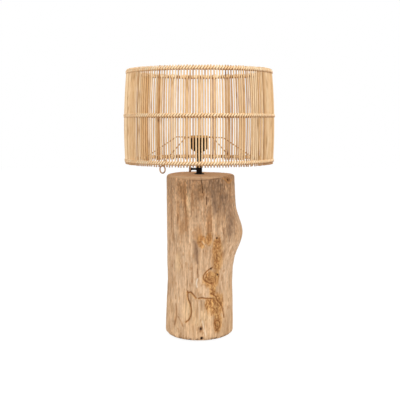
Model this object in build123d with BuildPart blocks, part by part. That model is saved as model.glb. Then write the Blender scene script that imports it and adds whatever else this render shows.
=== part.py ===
from build123d import *

import math
import os

os.makedirs("parts", exist_ok=True)

# A table lamp: a debarked log, a telescopic stem and a drum shade of upright canes.
# The origin is on the floor, under the shade's axis. +X is the viewer's right, +Y the back
# and +Z is up. Lengths are in millimetres and angles in degrees.

# Fits between pieces
RUNNING_CLEARANCE = 0.08
SEAT_CLEARANCE = 0.1
FREE_GAP = 0.3

# Log and felt: each row of the profile is a share of the height, a sideways lean and a swell
FELT_THICKNESS = 2.0
FELT_MARGIN = 5.0
LOG_HEIGHT = 380.0
LOG_RADIUS = 79.0
LOG_PROFILE = (
    (0.00, -0.2, 1.3),
    (0.08, 0.1, 1.4),
    (0.21, 0.7, 0.0),
    (0.34, 1.4, -2.6),
    (0.47, 1.2, -1.2),
    (0.65, 3.0, 0.5),
    (0.84, 3.9, 1.6),
    (1.00, 2.8, 0.6),
)
LOG_SECTIONS = 15
LOG_SECTION_POINTS = 20
LOG_LOBES = 3
LOG_LOBE_SWELL = 0.9
LOG_LOBE_TURN = 20.0
LOG_TOP_ROUND = 7.0
LOG_FOOT_ROUND = 11.0

# The burl on the log's right side
BURL_HEIGHT = 241.0
BURL_REACH = 20.0
BURL_SPREAD = 32.0
BURL_ARC = 24.0
BURL_TURN = -6.0

# Cord channel and outlet
CHANNEL_RADIUS = 5.5
OUTLET_HEIGHT = 26.0
GROMMET_BORE_RADIUS = 3.4
GROMMET_WALL = 1.6
GROMMET_LENGTH = 14.0
GROMMET_RIM_RADIUS = 8.0
GROMMET_RIM_THICKNESS = 2.4
GROMMET_RIM_BEVEL = 0.8

# Sleeve, flange, stem and thumb screw
STEM_RADIUS = 5.0
STEM_WALL = 1.2
STEM_INSERTION = 105.0
STEM_SHOWING = 27.0
SLEEVE_WALL = 1.8
SLEEVE_DEPTH = 135.0
SLEEVE_RISE = 22.0
FLANGE_RADIUS = 12.2
FLANGE_THICKNESS = 2.2
FLANGE_BEVEL = 0.8
SCREW_HEIGHT = 12.0
SCREW_RADIUS = 2.6
SCREW_REACH = 19.0
KNOB_RADIUS = 7.5
KNOB_THICKNESS = 5.0
KNOB_BEVEL = 0.6
KNOB_NOTCHES = 12
KNOB_NOTCH_DEPTH = 0.9

# Lampholder for a 27 mm screw base
NUT_WIDTH = 14.0
NUT_THICKNESS = 4.0
CAP_NECK_RADIUS = 8.5
CAP_HEIGHT = 14.0
CAP_RIM_RADIUS = 21.0
CAP_DOME = ((0.0, 0.0), (0.60, 0.26), (0.89, 0.61), (1.0, 1.0))
CAP_WALL = 2.0
SPIGOT_DEPTH = 4.0
BODY_HEIGHT = 18.4
BODY_TOP_RADIUS = 22.9
NECK_RADIUS = 19.5
NECK_HEIGHT = 4.6
BODY_LEDGE = 1.6
SHELL_BORE_RADIUS = 13.5
SHELL_WALL = 0.5
SHELL_HEIGHT = 14.0
SHELL_LIP = 2.0
INSERT_FLOOR = 2.8
INSERT_WALL = 3.3
INSERT_RIM_DROP = 1.5
RECESS_DEPTH = 4.8
CONTACT_WIDTH = 5.0
CONTACT_THICKNESS = 0.6
CONTACT_REACH = 7.5
CONTACT_RISE = 3.2
TERMINAL_SPACING = 17.0
TERMINAL_RADIUS = 1.5
TERMINAL_HEAD_RADIUS = 2.8
TERMINAL_HEAD_THICKNESS = 1.8

# Spider and clamp ring
GIMBAL_THICKNESS = 1.6
GIMBAL_RADIUS = 24.0
CLAMP_THICKNESS = 3.2
CLAMP_RADIUS = 23.2
CLAMP_NOTCHES = 12
CLAMP_NOTCH_WIDTH = 2.4
CLAMP_NOTCH_DEPTH = 0.8
ARM_TURNS = (64.0, 139.5, 244.0, 319.5)
ARM_RADIUS = 1.35
ARM_BEND_AT = 72.0
ARM_BEND_RADIUS = 12.0
ARM_DROP = 52.2

# Shade: the radius is that of the cane centres at the bottom hoop, from which they bulge and taper
CANE_COUNT = 167
FIRST_CANE_TURN = -90.0
CANE_RADIUS = 1.6
CANE_SIDES = 6
SHADE_RADIUS = 171.2
SHADE_BULGE = 1.2
SHADE_TAPER = 4.8
MIDDLE_RISE = 102.0
TOP_RISE = 201.0
CANE_TAIL_BOTTOM = 8.6
CANE_TAIL_TOP = 6.7
RING_RADIUS = 2.2
WIRE_SIDES = 6
LASHING_THICKNESS = 2.2
LASHING_HEIGHT = 8.0
LASHING_BEVEL = 1.0
LOOP_TURN = 242.0
LOOP_WIDTH = 12.8
LOOP_HEIGHT = 15.8
LOOP_SIDES = 12
LOOP_CANE_RADIUS = 1.5
LOOP_DROP = 13.5

# Heights and radii that follow from the sizes above
LOG_FOOT = FELT_THICKNESS
LOG_TOP = LOG_FOOT + LOG_HEIGHT
SLEEVE_BORE = STEM_RADIUS + RUNNING_CLEARANCE
SLEEVE_RADIUS = SLEEVE_BORE + SLEEVE_WALL
SLEEVE_FOOT = LOG_TOP - SLEEVE_DEPTH
SLEEVE_TOP = LOG_TOP + SLEEVE_RISE
STEM_FOOT = SLEEVE_TOP - STEM_INSERTION
NUT_FOOT = SLEEVE_TOP + STEM_SHOWING
CAP_FOOT = NUT_FOOT + NUT_THICKNESS
CAP_TOP = CAP_FOOT + CAP_HEIGHT
SHOULDER = CAP_TOP + BODY_HEIGHT
NECK_TOP = SHOULDER + NECK_HEIGHT
GIMBAL_TOP = SHOULDER + GIMBAL_THICKNESS
ARM_LEVEL = SHOULDER + GIMBAL_THICKNESS / 2
SPIGOT_RADIUS = CAP_RIM_RADIUS - CAP_WALL - SEAT_CLEARANCE
SHELL_RADIUS = SHELL_BORE_RADIUS + SHELL_WALL
INSERT_BORE = SHELL_RADIUS + SEAT_CLEARANCE
INSERT_RADIUS = INSERT_BORE + INSERT_WALL
BODY_BORE = INSERT_RADIUS + SEAT_CLEARANCE
INSERT_FOOT = CAP_TOP
RECESS_FLOOR = INSERT_FOOT + INSERT_FLOOR
SHELL_SEAT = RECESS_FLOOR + RECESS_DEPTH
SHELL_TOP = SHELL_SEAT + SHELL_HEIGHT
INSERT_TOP = SHELL_TOP - INSERT_RIM_DROP
CLAMP_BORE = NECK_RADIUS + RUNNING_CLEARANCE
GIMBAL_BORE = NECK_RADIUS + RUNNING_CLEARANCE
BOTTOM_HOOP = ARM_LEVEL - ARM_DROP
MIDDLE_HOOP = BOTTOM_HOOP + MIDDLE_RISE
TOP_HOOP = BOTTOM_HOOP + TOP_RISE
MIDDLE_RADIUS = SHADE_RADIUS + SHADE_BULGE
TOP_RADIUS = SHADE_RADIUS - SHADE_TAPER
RING_INSET = CANE_RADIUS + SEAT_CLEARANCE + RING_RADIUS


def save(piece, name):
    """Name a finished piece and write its file."""
    piece.label = name
    export_step(piece, f"parts/{name}.step")


def log_profile(share):
    """Lean and radius of the trunk, without the burl, at a share of its height."""
    for low, high in zip(LOG_PROFILE, LOG_PROFILE[1:]):
        if share <= high[0]:
            along = (share - low[0]) / (high[0] - low[0])
            lean = low[1] + along * (high[1] - low[1])
            swell = low[2] + along * (high[2] - low[2])
            return lean, LOG_RADIUS + swell
    return LOG_PROFILE[-1][1], LOG_RADIUS + LOG_PROFILE[-1][2]


def log_point(height, turn):
    """Point on the log's side, at a height over its foot and a turn from +X."""
    lean, radius = log_profile(height / LOG_HEIGHT)
    up = (height - BURL_HEIGHT) / BURL_SPREAD
    around = ((turn - BURL_TURN + 180) % 360 - 180) / BURL_ARC
    radius += BURL_REACH * math.exp(-(up * up + around * around) / 2)
    radius += LOG_LOBE_SWELL * math.cos(math.radians(LOG_LOBES * (turn - LOG_LOBE_TURN)))
    angle = math.radians(turn)
    return lean + radius * math.cos(angle), radius * math.sin(angle)


# Log base
log_back = log_point(OUTLET_HEIGHT, 90.0)[1]
outlet_level = LOG_FOOT + OUTLET_HEIGHT
grommet_seat = log_back - GROMMET_RIM_THICKNESS
grommet_radius = GROMMET_BORE_RADIUS + GROMMET_WALL

with BuildPart() as log_base:
    for section_number in range(LOG_SECTIONS):
        height = LOG_HEIGHT * section_number / (LOG_SECTIONS - 1)
        with BuildSketch(Plane.XY.offset(LOG_FOOT + height)):
            with BuildLine():
                step = 360 / LOG_SECTION_POINTS
                points = [log_point(height, step * place) for place in range(LOG_SECTION_POINTS)]
                Spline(*points, periodic=True)
            make_face()
    loft()
    log_caps = log_base.faces().filter_by(GeomType.PLANE).sort_by(Axis.Z)
    fillet(log_caps[-1].edges(), LOG_TOP_ROUND)
    log_caps = log_base.faces().filter_by(GeomType.PLANE).sort_by(Axis.Z)
    fillet(log_caps[0].edges(), LOG_FOOT_ROUND)
    with Locations((0, 0, LOG_TOP)):
        CounterBoreHole(CHANNEL_RADIUS, SLEEVE_RADIUS + SEAT_CLEARANCE, SLEEVE_DEPTH, LOG_HEIGHT)
    with Locations(Plane((0, log_back, outlet_level), z_dir=(0, 1, 0))):
        CounterBoreHole(
            radius=grommet_radius + SEAT_CLEARANCE,
            counter_bore_radius=GROMMET_RIM_RADIUS + SEAT_CLEARANCE,
            counter_bore_depth=GROMMET_RIM_THICKNESS,
            depth=log_back,
        )
save(log_base.part, "log_base")

# Felt disc under the log
foot_lean, foot_radius = log_profile(0.0)
with BuildPart() as base_felt:
    with BuildSketch():
        with Locations((foot_lean, 0)):
            Circle(foot_radius - LOG_FOOT_ROUND - FELT_MARGIN)
    extrude(amount=FELT_THICKNESS)
save(base_felt.part, "base_felt")

# Grommet in the cord outlet
with BuildPart() as cord_grommet:
    with BuildSketch(Plane((0, grommet_seat, outlet_level), z_dir=(0, 1, 0))):
        Circle(GROMMET_RIM_RADIUS)
    extrude(amount=GROMMET_RIM_THICKNESS)
    chamfer(cord_grommet.faces().sort_by(Axis.Y)[-1].edges(), GROMMET_RIM_BEVEL)
    with BuildSketch(Plane((0, grommet_seat, outlet_level), z_dir=(0, -1, 0))):
        Circle(grommet_radius)
    extrude(amount=GROMMET_LENGTH - GROMMET_RIM_THICKNESS)
    with Locations(Plane((0, log_back, outlet_level), z_dir=(0, 1, 0))):
        Hole(GROMMET_BORE_RADIUS, GROMMET_LENGTH)
save(cord_grommet.part, "cord_grommet")

# Sleeve that the stem slides in, with the thumb screw's hole on its left side
screw_level = LOG_TOP + SCREW_HEIGHT
with BuildPart() as stem_sleeve:
    with BuildSketch(Plane.XY.offset(SLEEVE_FOOT)):
        Circle(SLEEVE_RADIUS)
        Circle(SLEEVE_BORE, mode=Mode.SUBTRACT)
    extrude(amount=SLEEVE_TOP - SLEEVE_FOOT)
    with Locations(Plane((-SLEEVE_RADIUS, 0, screw_level), z_dir=(-1, 0, 0))):
        Hole(SCREW_RADIUS + RUNNING_CLEARANCE, SLEEVE_RADIUS)
save(stem_sleeve.part, "stem_sleeve")

# Flange that hides the sleeve's hole in the log
with BuildPart() as base_flange:
    with BuildSketch(Plane.XY.offset(LOG_TOP)):
        Circle(FLANGE_RADIUS)
        Circle(SLEEVE_RADIUS + SEAT_CLEARANCE, mode=Mode.SUBTRACT)
    extrude(amount=FLANGE_THICKNESS)
    flange_rim = base_flange.faces().sort_by(Axis.Z)[-1].edges().sort_by(SortBy.RADIUS)[-1]
    chamfer(flange_rim, FLANGE_BEVEL)
save(base_flange.part, "base_flange")

# Thumb screw with a notched knob, its tip just short of the stem
knob_plane = Plane((-SCREW_REACH, 0, screw_level), z_dir=(-1, 0, 0))
with BuildPart() as thumb_screw:
    with BuildSketch(Plane((-STEM_RADIUS - FREE_GAP, 0, screw_level), z_dir=(-1, 0, 0))):
        Circle(SCREW_RADIUS)
    extrude(amount=SCREW_REACH - STEM_RADIUS - FREE_GAP)
    with BuildSketch(knob_plane):
        Circle(KNOB_RADIUS)
    extrude(amount=KNOB_THICKNESS)
    chamfer(thumb_screw.faces().sort_by(Axis.X)[0].edges(), KNOB_BEVEL)
    with BuildSketch(knob_plane):
        with PolarLocations(KNOB_RADIUS, KNOB_NOTCHES):
            RegularPolygon(KNOB_NOTCH_DEPTH, 4)
    extrude(amount=KNOB_THICKNESS, mode=Mode.SUBTRACT)
save(thumb_screw.part, "thumb_screw")

# Stem tube, which carries the lampholder and the shade
with BuildPart() as stem_tube:
    with BuildSketch(Plane.XY.offset(STEM_FOOT)):
        Circle(STEM_RADIUS)
        Circle(STEM_RADIUS - STEM_WALL, mode=Mode.SUBTRACT)
    extrude(amount=CAP_FOOT + CAP_HEIGHT / 2 - STEM_FOOT)
save(stem_tube.part, "stem_tube")

# Lock nut under the lampholder
with BuildPart() as lock_nut:
    with BuildSketch(Plane.XY.offset(NUT_FOOT)):
        RegularPolygon(NUT_WIDTH / 2, 6, major_radius=False)
        Circle(STEM_RADIUS + SEAT_CLEARANCE, mode=Mode.SUBTRACT)
    extrude(amount=NUT_THICKNESS)
save(lock_nut.part, "lock_nut")

# Lampholder cap, a spun dome
with BuildPart() as holder_cap:
    with BuildSketch(Plane.XZ):
        with BuildLine():
            dome_width = CAP_RIM_RADIUS - CAP_NECK_RADIUS
            dome = [
                (CAP_NECK_RADIUS + out * dome_width, CAP_FOOT + up * CAP_HEIGHT)
                for out, up in CAP_DOME
            ]
            Polyline(
                (STEM_RADIUS + SEAT_CLEARANCE, CAP_FOOT),
                *dome,
                (CAP_RIM_RADIUS - CAP_WALL, CAP_TOP),
                (CAP_RIM_RADIUS - CAP_WALL, CAP_TOP - SPIGOT_DEPTH),
                (CAP_NECK_RADIUS, CAP_FOOT + CAP_WALL),
                (STEM_RADIUS + SEAT_CLEARANCE, CAP_FOOT + CAP_WALL),
                close=True,
            )
        make_face()
    revolve(axis=Axis.Z)
save(holder_cap.part, "holder_cap")

# Lampholder body, with a spigot in the cap, a shoulder for the spider and a neck for the clamp
with BuildPart() as holder_body:
    with BuildSketch(Plane.XZ):
        with BuildLine():
            Polyline(
                (BODY_BORE - BODY_LEDGE, CAP_TOP - SPIGOT_DEPTH),
                (SPIGOT_RADIUS, CAP_TOP - SPIGOT_DEPTH),
                (SPIGOT_RADIUS, CAP_TOP),
                (CAP_RIM_RADIUS, CAP_TOP),
                (BODY_TOP_RADIUS, SHOULDER),
                (NECK_RADIUS, SHOULDER),
                (NECK_RADIUS, NECK_TOP),
                (BODY_BORE, NECK_TOP),
                (BODY_BORE, INSERT_FOOT),
                (BODY_BORE - BODY_LEDGE, INSERT_FOOT),
                close=True,
            )
        make_face()
    revolve(axis=Axis.Z)
save(holder_body.part, "holder_body")

# Insulating insert, on the body's ledge, stepped for the shell and the contact below it
with BuildPart() as holder_insert:
    with BuildSketch(Plane.XY.offset(INSERT_FOOT)):
        Circle(INSERT_RADIUS)
    extrude(amount=INSERT_TOP - INSERT_FOOT)
    with Locations((0, 0, INSERT_TOP)):
        CounterBoreHole(
            radius=SHELL_BORE_RADIUS - SHELL_LIP,
            counter_bore_radius=INSERT_BORE,
            counter_bore_depth=INSERT_TOP - SHELL_SEAT,
            depth=INSERT_TOP - RECESS_FLOOR,
        )
    with Locations((0, 0, RECESS_FLOOR)):
        with GridLocations(TERMINAL_SPACING, 0, 2, 1):
            Hole(TERMINAL_RADIUS + SEAT_CLEARANCE, INSERT_FLOOR)
save(holder_insert.part, "holder_insert")

# Brass shell that takes the bulb's screw base, turned in at its foot
with BuildPart() as screw_shell:
    with BuildSketch(Plane.XZ):
        with BuildLine():
            Polyline(
                (SHELL_BORE_RADIUS - SHELL_LIP, SHELL_SEAT),
                (SHELL_RADIUS, SHELL_SEAT),
                (SHELL_RADIUS, SHELL_TOP),
                (SHELL_BORE_RADIUS, SHELL_TOP),
                (SHELL_BORE_RADIUS, SHELL_SEAT + SHELL_WALL),
                (SHELL_BORE_RADIUS - SHELL_LIP, SHELL_SEAT + SHELL_WALL),
                close=True,
            )
        make_face()
    revolve(axis=Axis.Z)
save(screw_shell.part, "screw_shell")

# Spring tongue in the recess under the shell, the centre contact
contact_floor = RECESS_FLOOR + CONTACT_THICKNESS / 2
with BuildPart() as centre_contact:
    with BuildSketch(Plane.XZ.offset(-CONTACT_WIDTH / 2)):
        with BuildLine() as tongue:
            Polyline(
                (-CONTACT_REACH, contact_floor),
                (-CONTACT_REACH / 3, contact_floor),
                (CONTACT_REACH / 3, contact_floor + CONTACT_RISE),
                (CONTACT_REACH, contact_floor + CONTACT_RISE - CONTACT_THICKNESS),
            )
        trace(line_width=CONTACT_THICKNESS)
    extrude(amount=CONTACT_WIDTH)
save(centre_contact.part, "centre_contact")

# Two terminal screws under the insert's floor
with BuildPart() as terminal_screws:
    with BuildSketch(Plane.XY.offset(INSERT_FOOT - TERMINAL_HEAD_THICKNESS)):
        with GridLocations(TERMINAL_SPACING, 0, 2, 1):
            Circle(TERMINAL_HEAD_RADIUS)
    extrude(amount=TERMINAL_HEAD_THICKNESS)
    with BuildSketch(Plane.XY.offset(INSERT_FOOT)):
        with GridLocations(TERMINAL_SPACING, 0, 2, 1):
            Circle(TERMINAL_RADIUS)
    extrude(amount=INSERT_FLOOR - SEAT_CLEARANCE)
save(terminal_screws.part, "terminal_screws")

# Clamp ring that holds the spider down on the shoulder
with BuildPart() as clamp_ring:
    with BuildSketch(Plane.XY.offset(GIMBAL_TOP)):
        Circle(CLAMP_RADIUS)
        Circle(CLAMP_BORE, mode=Mode.SUBTRACT)
        with PolarLocations(CLAMP_RADIUS, CLAMP_NOTCHES):
            Rectangle(2 * CLAMP_NOTCH_DEPTH, CLAMP_NOTCH_WIDTH, mode=Mode.SUBTRACT)
    extrude(amount=CLAMP_THICKNESS)
save(clamp_ring.part, "clamp_ring")

# Spider: a flat ring on the lampholder's shoulder and four wire arms down to the bottom hoop
with BuildPart() as gimbal_ring:
    with BuildSketch(Plane.XY.offset(SHOULDER)):
        Circle(GIMBAL_RADIUS)
        Circle(GIMBAL_BORE, mode=Mode.SUBTRACT)
    extrude(amount=GIMBAL_THICKNESS)
save(gimbal_ring.part, "gimbal_ring")

ring_bottom_radius = SHADE_RADIUS - RING_INSET
arm_run = ring_bottom_radius - ARM_BEND_AT
arm_over_ring = RING_RADIUS + ARM_RADIUS + SEAT_CLEARANCE
arm_slope = math.atan2(ARM_DROP, arm_run) - math.asin(arm_over_ring / math.hypot(ARM_DROP, arm_run))
arm_end = (
    ring_bottom_radius + arm_over_ring * math.sin(arm_slope),
    BOTTOM_HOOP + arm_over_ring * math.cos(arm_slope),
)
for arm_number, arm_turn in enumerate(ARM_TURNS, 1):
    turn = math.radians(arm_turn)
    outward = Vector(math.cos(turn), math.sin(turn), 0)
    upright = Plane((0, 0, 0), x_dir=outward, z_dir=outward.cross(Vector(0, 0, 1)))
    with BuildPart() as spider_arm:
        with BuildLine(upright) as wire:
            FilletPolyline(
                (GIMBAL_RADIUS, ARM_LEVEL),
                (ARM_BEND_AT, ARM_LEVEL),
                arm_end,
                radius=ARM_BEND_RADIUS,
            )
        with BuildSketch(Plane(wire.line @ 0, z_dir=wire.line % 0)):
            RegularPolygon(ARM_RADIUS, WIRE_SIDES)
        sweep()
    save(spider_arm.part, f"spider_arm_{arm_number}")

# The three hoops: a wire ring inside the canes, and the lashing that stands proud outside them
hoops = (
    ("bottom", BOTTOM_HOOP, SHADE_RADIUS),
    ("middle", MIDDLE_HOOP, MIDDLE_RADIUS),
    ("top", TOP_HOOP, TOP_RADIUS),
)
steepest_cane = (MIDDLE_RADIUS - TOP_RADIUS) / (TOP_HOOP - MIDDLE_HOOP)
cane_lean = abs(steepest_cane) * LASHING_HEIGHT / 2
for hoop_name, level, shade_radius in hoops:
    with BuildPart() as wire_ring:
        with BuildSketch(Plane.XZ):
            with Locations((shade_radius - RING_INSET, level)):
                RegularPolygon(RING_RADIUS, WIRE_SIDES)
        revolve(axis=Axis.Z)
    save(wire_ring.part, f"{hoop_name}_wire_ring")

    lashing_inside = shade_radius + CANE_RADIUS + cane_lean + SEAT_CLEARANCE
    with BuildPart() as lashing:
        with BuildSketch(Plane.XZ) as band:
            with Locations((lashing_inside, level)):
                Rectangle(LASHING_THICKNESS, LASHING_HEIGHT, align=(Align.MIN, Align.CENTER))
            chamfer(band.vertices().group_by(Axis.X)[-1], LASHING_BEVEL)
        revolve(axis=Axis.Z)
    save(lashing.part, f"{hoop_name}_lashing")

# One upright cane, bent at the middle hoop, and its copies round the shade
tail_slope = (MIDDLE_RADIUS - SHADE_RADIUS) / MIDDLE_RISE
cane_foot = (SHADE_RADIUS - tail_slope * CANE_TAIL_BOTTOM, BOTTOM_HOOP - CANE_TAIL_BOTTOM)
cane_bend = (MIDDLE_RADIUS, MIDDLE_HOOP)
cane_tip = (TOP_RADIUS - steepest_cane * CANE_TAIL_TOP, TOP_HOOP + CANE_TAIL_TOP)
with BuildPart() as cane:
    with BuildLine(Plane.XZ) as cane_line:
        Polyline(cane_foot, cane_bend, cane_tip)
    with BuildSketch(Plane(cane_line.line @ 0, x_dir=(0, 1, 0), z_dir=cane_line.line % 0)):
        RegularPolygon(CANE_RADIUS, CANE_SIDES, rotation=180 / CANE_SIDES)
    sweep(transition=Transition.RIGHT)
with BuildPart() as shade_canes:
    with PolarLocations(0, CANE_COUNT, start_angle=FIRST_CANE_TURN):
        add(cane.part)
save(shade_canes.part, "shade_canes")

# A small oval cane loop that hangs from the bottom wire ring by a short neck
turn = math.radians(LOOP_TURN)
outward = Vector(math.cos(turn), math.sin(turn), 0)
loop_centre = outward * ring_bottom_radius + Vector(0, 0, BOTTOM_HOOP - LOOP_DROP)
loop_corners = []
for corner_number in range(LOOP_SIDES):
    corner_turn = 2 * math.pi * (corner_number + 0.5) / LOOP_SIDES
    loop_corners.append((LOOP_WIDTH / 2 * math.sin(corner_turn), LOOP_HEIGHT / 2 * math.cos(corner_turn)))
loop_top = loop_corners[0][1]
with BuildPart() as cane_loop:
    with BuildLine(Plane(loop_centre, x_dir=outward.cross(Vector(0, 0, 1)), z_dir=-outward)) as oval:
        Polyline((0, loop_top), *loop_corners, close=True)
    with BuildSketch(Plane(oval.line @ 0, x_dir=outward, z_dir=oval.line % 0)):
        RegularPolygon(LOOP_CANE_RADIUS, WIRE_SIDES)
    sweep(transition=Transition.RIGHT)
    neck_foot = loop_centre + Vector(0, 0, loop_top)
    with BuildSketch(Plane(neck_foot, x_dir=outward)):
        RegularPolygon(LOOP_CANE_RADIUS, WIRE_SIDES)
    extrude(amount=LOOP_DROP - loop_top - RING_RADIUS - SEAT_CLEARANCE)
save(cane_loop.part, "cane_loop")
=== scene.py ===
import math

import bmesh
import bpy
import numpy as np
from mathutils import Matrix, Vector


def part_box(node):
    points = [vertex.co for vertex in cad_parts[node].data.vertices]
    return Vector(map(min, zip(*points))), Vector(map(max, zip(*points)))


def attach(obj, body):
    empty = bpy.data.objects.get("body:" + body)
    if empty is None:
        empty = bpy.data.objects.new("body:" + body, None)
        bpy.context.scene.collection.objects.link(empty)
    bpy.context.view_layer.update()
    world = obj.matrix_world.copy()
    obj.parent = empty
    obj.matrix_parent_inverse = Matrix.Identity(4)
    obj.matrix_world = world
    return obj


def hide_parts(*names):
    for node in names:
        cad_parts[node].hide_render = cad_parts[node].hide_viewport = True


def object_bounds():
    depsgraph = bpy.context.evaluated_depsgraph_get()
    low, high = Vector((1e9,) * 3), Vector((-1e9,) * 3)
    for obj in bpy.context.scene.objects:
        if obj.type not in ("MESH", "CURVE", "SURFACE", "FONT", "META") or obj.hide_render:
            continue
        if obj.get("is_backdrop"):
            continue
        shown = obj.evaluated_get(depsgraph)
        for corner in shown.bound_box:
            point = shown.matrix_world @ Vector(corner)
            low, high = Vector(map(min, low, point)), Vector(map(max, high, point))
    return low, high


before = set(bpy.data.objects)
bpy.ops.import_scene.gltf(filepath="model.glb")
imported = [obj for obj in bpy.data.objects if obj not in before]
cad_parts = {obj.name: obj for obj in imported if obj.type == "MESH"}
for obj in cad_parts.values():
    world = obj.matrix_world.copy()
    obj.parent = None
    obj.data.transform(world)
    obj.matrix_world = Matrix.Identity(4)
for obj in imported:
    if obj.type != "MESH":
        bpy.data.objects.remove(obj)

CAD_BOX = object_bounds()
MM = 0.001
X, Y, Z = range(3)


def low_mm(node, axis):
    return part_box(node)[0][axis] / MM


def high_mm(node, axis):
    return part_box(node)[1][axis] / MM


def levels_mm(node):
    """Lowest and highest level of a node."""
    return low_mm(node, Z), high_mm(node, Z)


# Camera, as fitted to the ellipses of the shade's hoops in the photograph, in metres
CAMERA_PLACE = (0.0019, -1.7074, 0.505)
CAMERA_PITCH = math.radians(6.165)
CAMERA_LENS = 65.46
SENSOR_WIDTH = 36.0

# Studio: each light has a name, a place in metres and a power in watts
LIGHTS = (("key", (-1.5, -1.4, 1.9), 23.0), ("fill", (1.6, -1.4, 1.9), 27.0))
LIGHT_AIM = (0.0, 0.0, 0.4)
LIGHT_SIZE = 1.3
SOFT_LIGHT = 0.62
WHITE = (1.0, 1.0, 1.0, 1.0)
FLOOR_REACH = 6.0
FLOOR_COLOUR = (0.8, 0.8, 0.8, 1.0)
FLOOR_GLOW = 1.13
FLOOR_GLOW_SHARE = 0.8

# All sizes below are in millimetres and degrees, and follow the solid model

# Fits between pieces, the rounding of turned edges, and the notches of the knob and the clamp ring
RUNNING_CLEARANCE = 0.08
SEAT_CLEARANCE = 0.1
SHARP_EDGE = 0.3
PLAIN_EDGE = 0.35
CLAMP_EDGE = 0.4
SOFT_EDGE = 0.5
NOTCHES = 12

# Log: each row of the profile is a share of the height, a sideways lean and a swell
LOG_FOOT = low_mm("log_base", Z)
LOG_HEIGHT = high_mm("log_base", Z) - LOG_FOOT
LOG_RADIUS = 79.0
LOG_PROFILE = (
    (0.00, -0.2, 1.3),
    (0.08, 0.1, 1.4),
    (0.21, 0.7, 0.0),
    (0.34, 1.4, -2.6),
    (0.47, 1.2, -1.2),
    (0.65, 3.0, 0.5),
    (0.84, 3.9, 1.6),
    (1.00, 2.8, 0.6),
)
LOG_LOBES = 3
LOG_LOBE_SWELL = 0.9
LOG_LOBE_TURN = 20.0
LOG_TOP_ROUND = 7.0
LOG_FOOT_ROUND = 11.0
BURL_HEIGHT = 241.0
BURL_REACH = 20.0
BURL_SPREAD = 32.0
BURL_ARC = 24.0
BURL_TURN = -6.0
FELT_EYE = 0.5

# Stem, sleeve, flange, nut and thumb screw
STEM_RADIUS = high_mm("stem_tube", X)
STEM_WALL = 1.2
SLEEVE_BORE = STEM_RADIUS + RUNNING_CLEARANCE
SLEEVE_WALL = 1.8
SLEEVE_RADIUS = SLEEVE_BORE + SLEEVE_WALL
FLANGE_RADIUS = high_mm("base_flange", X)
FLANGE_GAP = 0.05
FLANGE_EDGE = 0.9
FLANGE_BEVEL = 1.2
FLANGE_FALL = 0.3
FLANGE_FLAT = 1.0
NUT_BEVEL = 0.9
NUT_BEVEL_HEIGHT = 0.5
SCREW_RADIUS = 2.6
SCREW_EYE = 0.2
BOSS_RADIUS = 3.6
BOSS_LENGTH = 1.4
BOSS_CONE = 0.8
BOSS_SINK = 0.2
KNOB_RADIUS = 7.5
KNOB_THICKNESS = 5.0
KNOB_RIM = 1.6
KNOB_DISH = 0.5
KNOB_DISH_SLOPE = 0.6
KNOB_NOTCH_DEPTH = 0.9

# Lampholder, clamp ring and contacts
CAP_NECK_RADIUS = 8.5
CAP_WALL = 2.0
CAP_NECK_WALL_SHARE = 0.4
CAP_DOME_POWER = 1.08
SPIGOT_DEPTH = 4.0
BODY_SEAM = 0.2
BODY_LEDGE = 1.6
BODY_BEVEL = 0.6
BEAD_HEIGHT = 1.6
BEAD_REACH = 0.1
BEAD_STEP = 0.3
BAND_HEIGHT = 3.4
BAND_STEP = 0.8
NECK_RADIUS = 19.5
CLAMP_NOTCH_DEPTH = 0.8
CLAMP_NOTCH_SIDES = (0.75, 0.95)
SHELL_BORE = 13.5
SHELL_WALL = 0.5
SHELL_LIP = 2.0
THREAD_PITCH = 3.62
THREAD_DEPTH = 0.56
THREAD_RUN_IN = 1.5
INSERT_FLOOR = 2.8
INSERT_EYE = 0.4
CONTACT_EDGE = 0.2

# Cord outlet and its grommet at the log's back
GROMMET_BORE = 3.4
GROMMET_WALL = 1.6
GROMMET_RIM_RADIUS = high_mm("cord_grommet", X)
GROMMET_RIM_THICKNESS = 2.4
GROMMET_RIM_BEVEL = 0.8
GROMMET_MOUTH_BEVEL = 0.6
GROMMET_SEAT = high_mm("cord_grommet", Y) - GROMMET_RIM_THICKNESS
OUTLET_LEVEL = sum(levels_mm("cord_grommet")) / 2
OUTLET_MARGIN = 0.7
OUTLET_WALL = 3.0
OUTLET_DEPTH = 14.0

# Log colours, as sRGB values of 0 to 255
WOOD_LIGHT = (232, 197, 160)
WOOD_MID = (210, 173, 136)
WOOD_DARK = (168, 128, 91)
WOOD_HONEY = (228, 188, 142)
WOOD_BROWN = (178, 136, 98)
WOOD_GREY = (190, 157, 126)
WOOD_WEATHERED = (150, 118, 90)
WOOD_RUST = (170, 122, 78)
WOOD_PALE = (228, 192, 148)
WOOD_OCHRE = (200, 146, 87)
WOOD_RIDGE = (230, 182, 118)
WOOD_TRACK = (148, 96, 52)
WOOD_STREAK = (158, 110, 68)
WOOD_SHADE = (124, 94, 71)
WOOD_CREAM = (246, 230, 208)
WOOD_CRACK = (82, 58, 42)
# Near-black: painted shade inside the holes and the top's bore, and the colour of the foot's specks and
# the knot's eye
WOOD_HOLE = (42, 28, 20)
WOOD_KNOT = (202, 146, 88)
WOOD_BEVEL = (208, 168, 127)
END_MID = (216, 173, 131)
END_DARK = (180, 134, 92)
END_PALE = (230, 190, 148)

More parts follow.
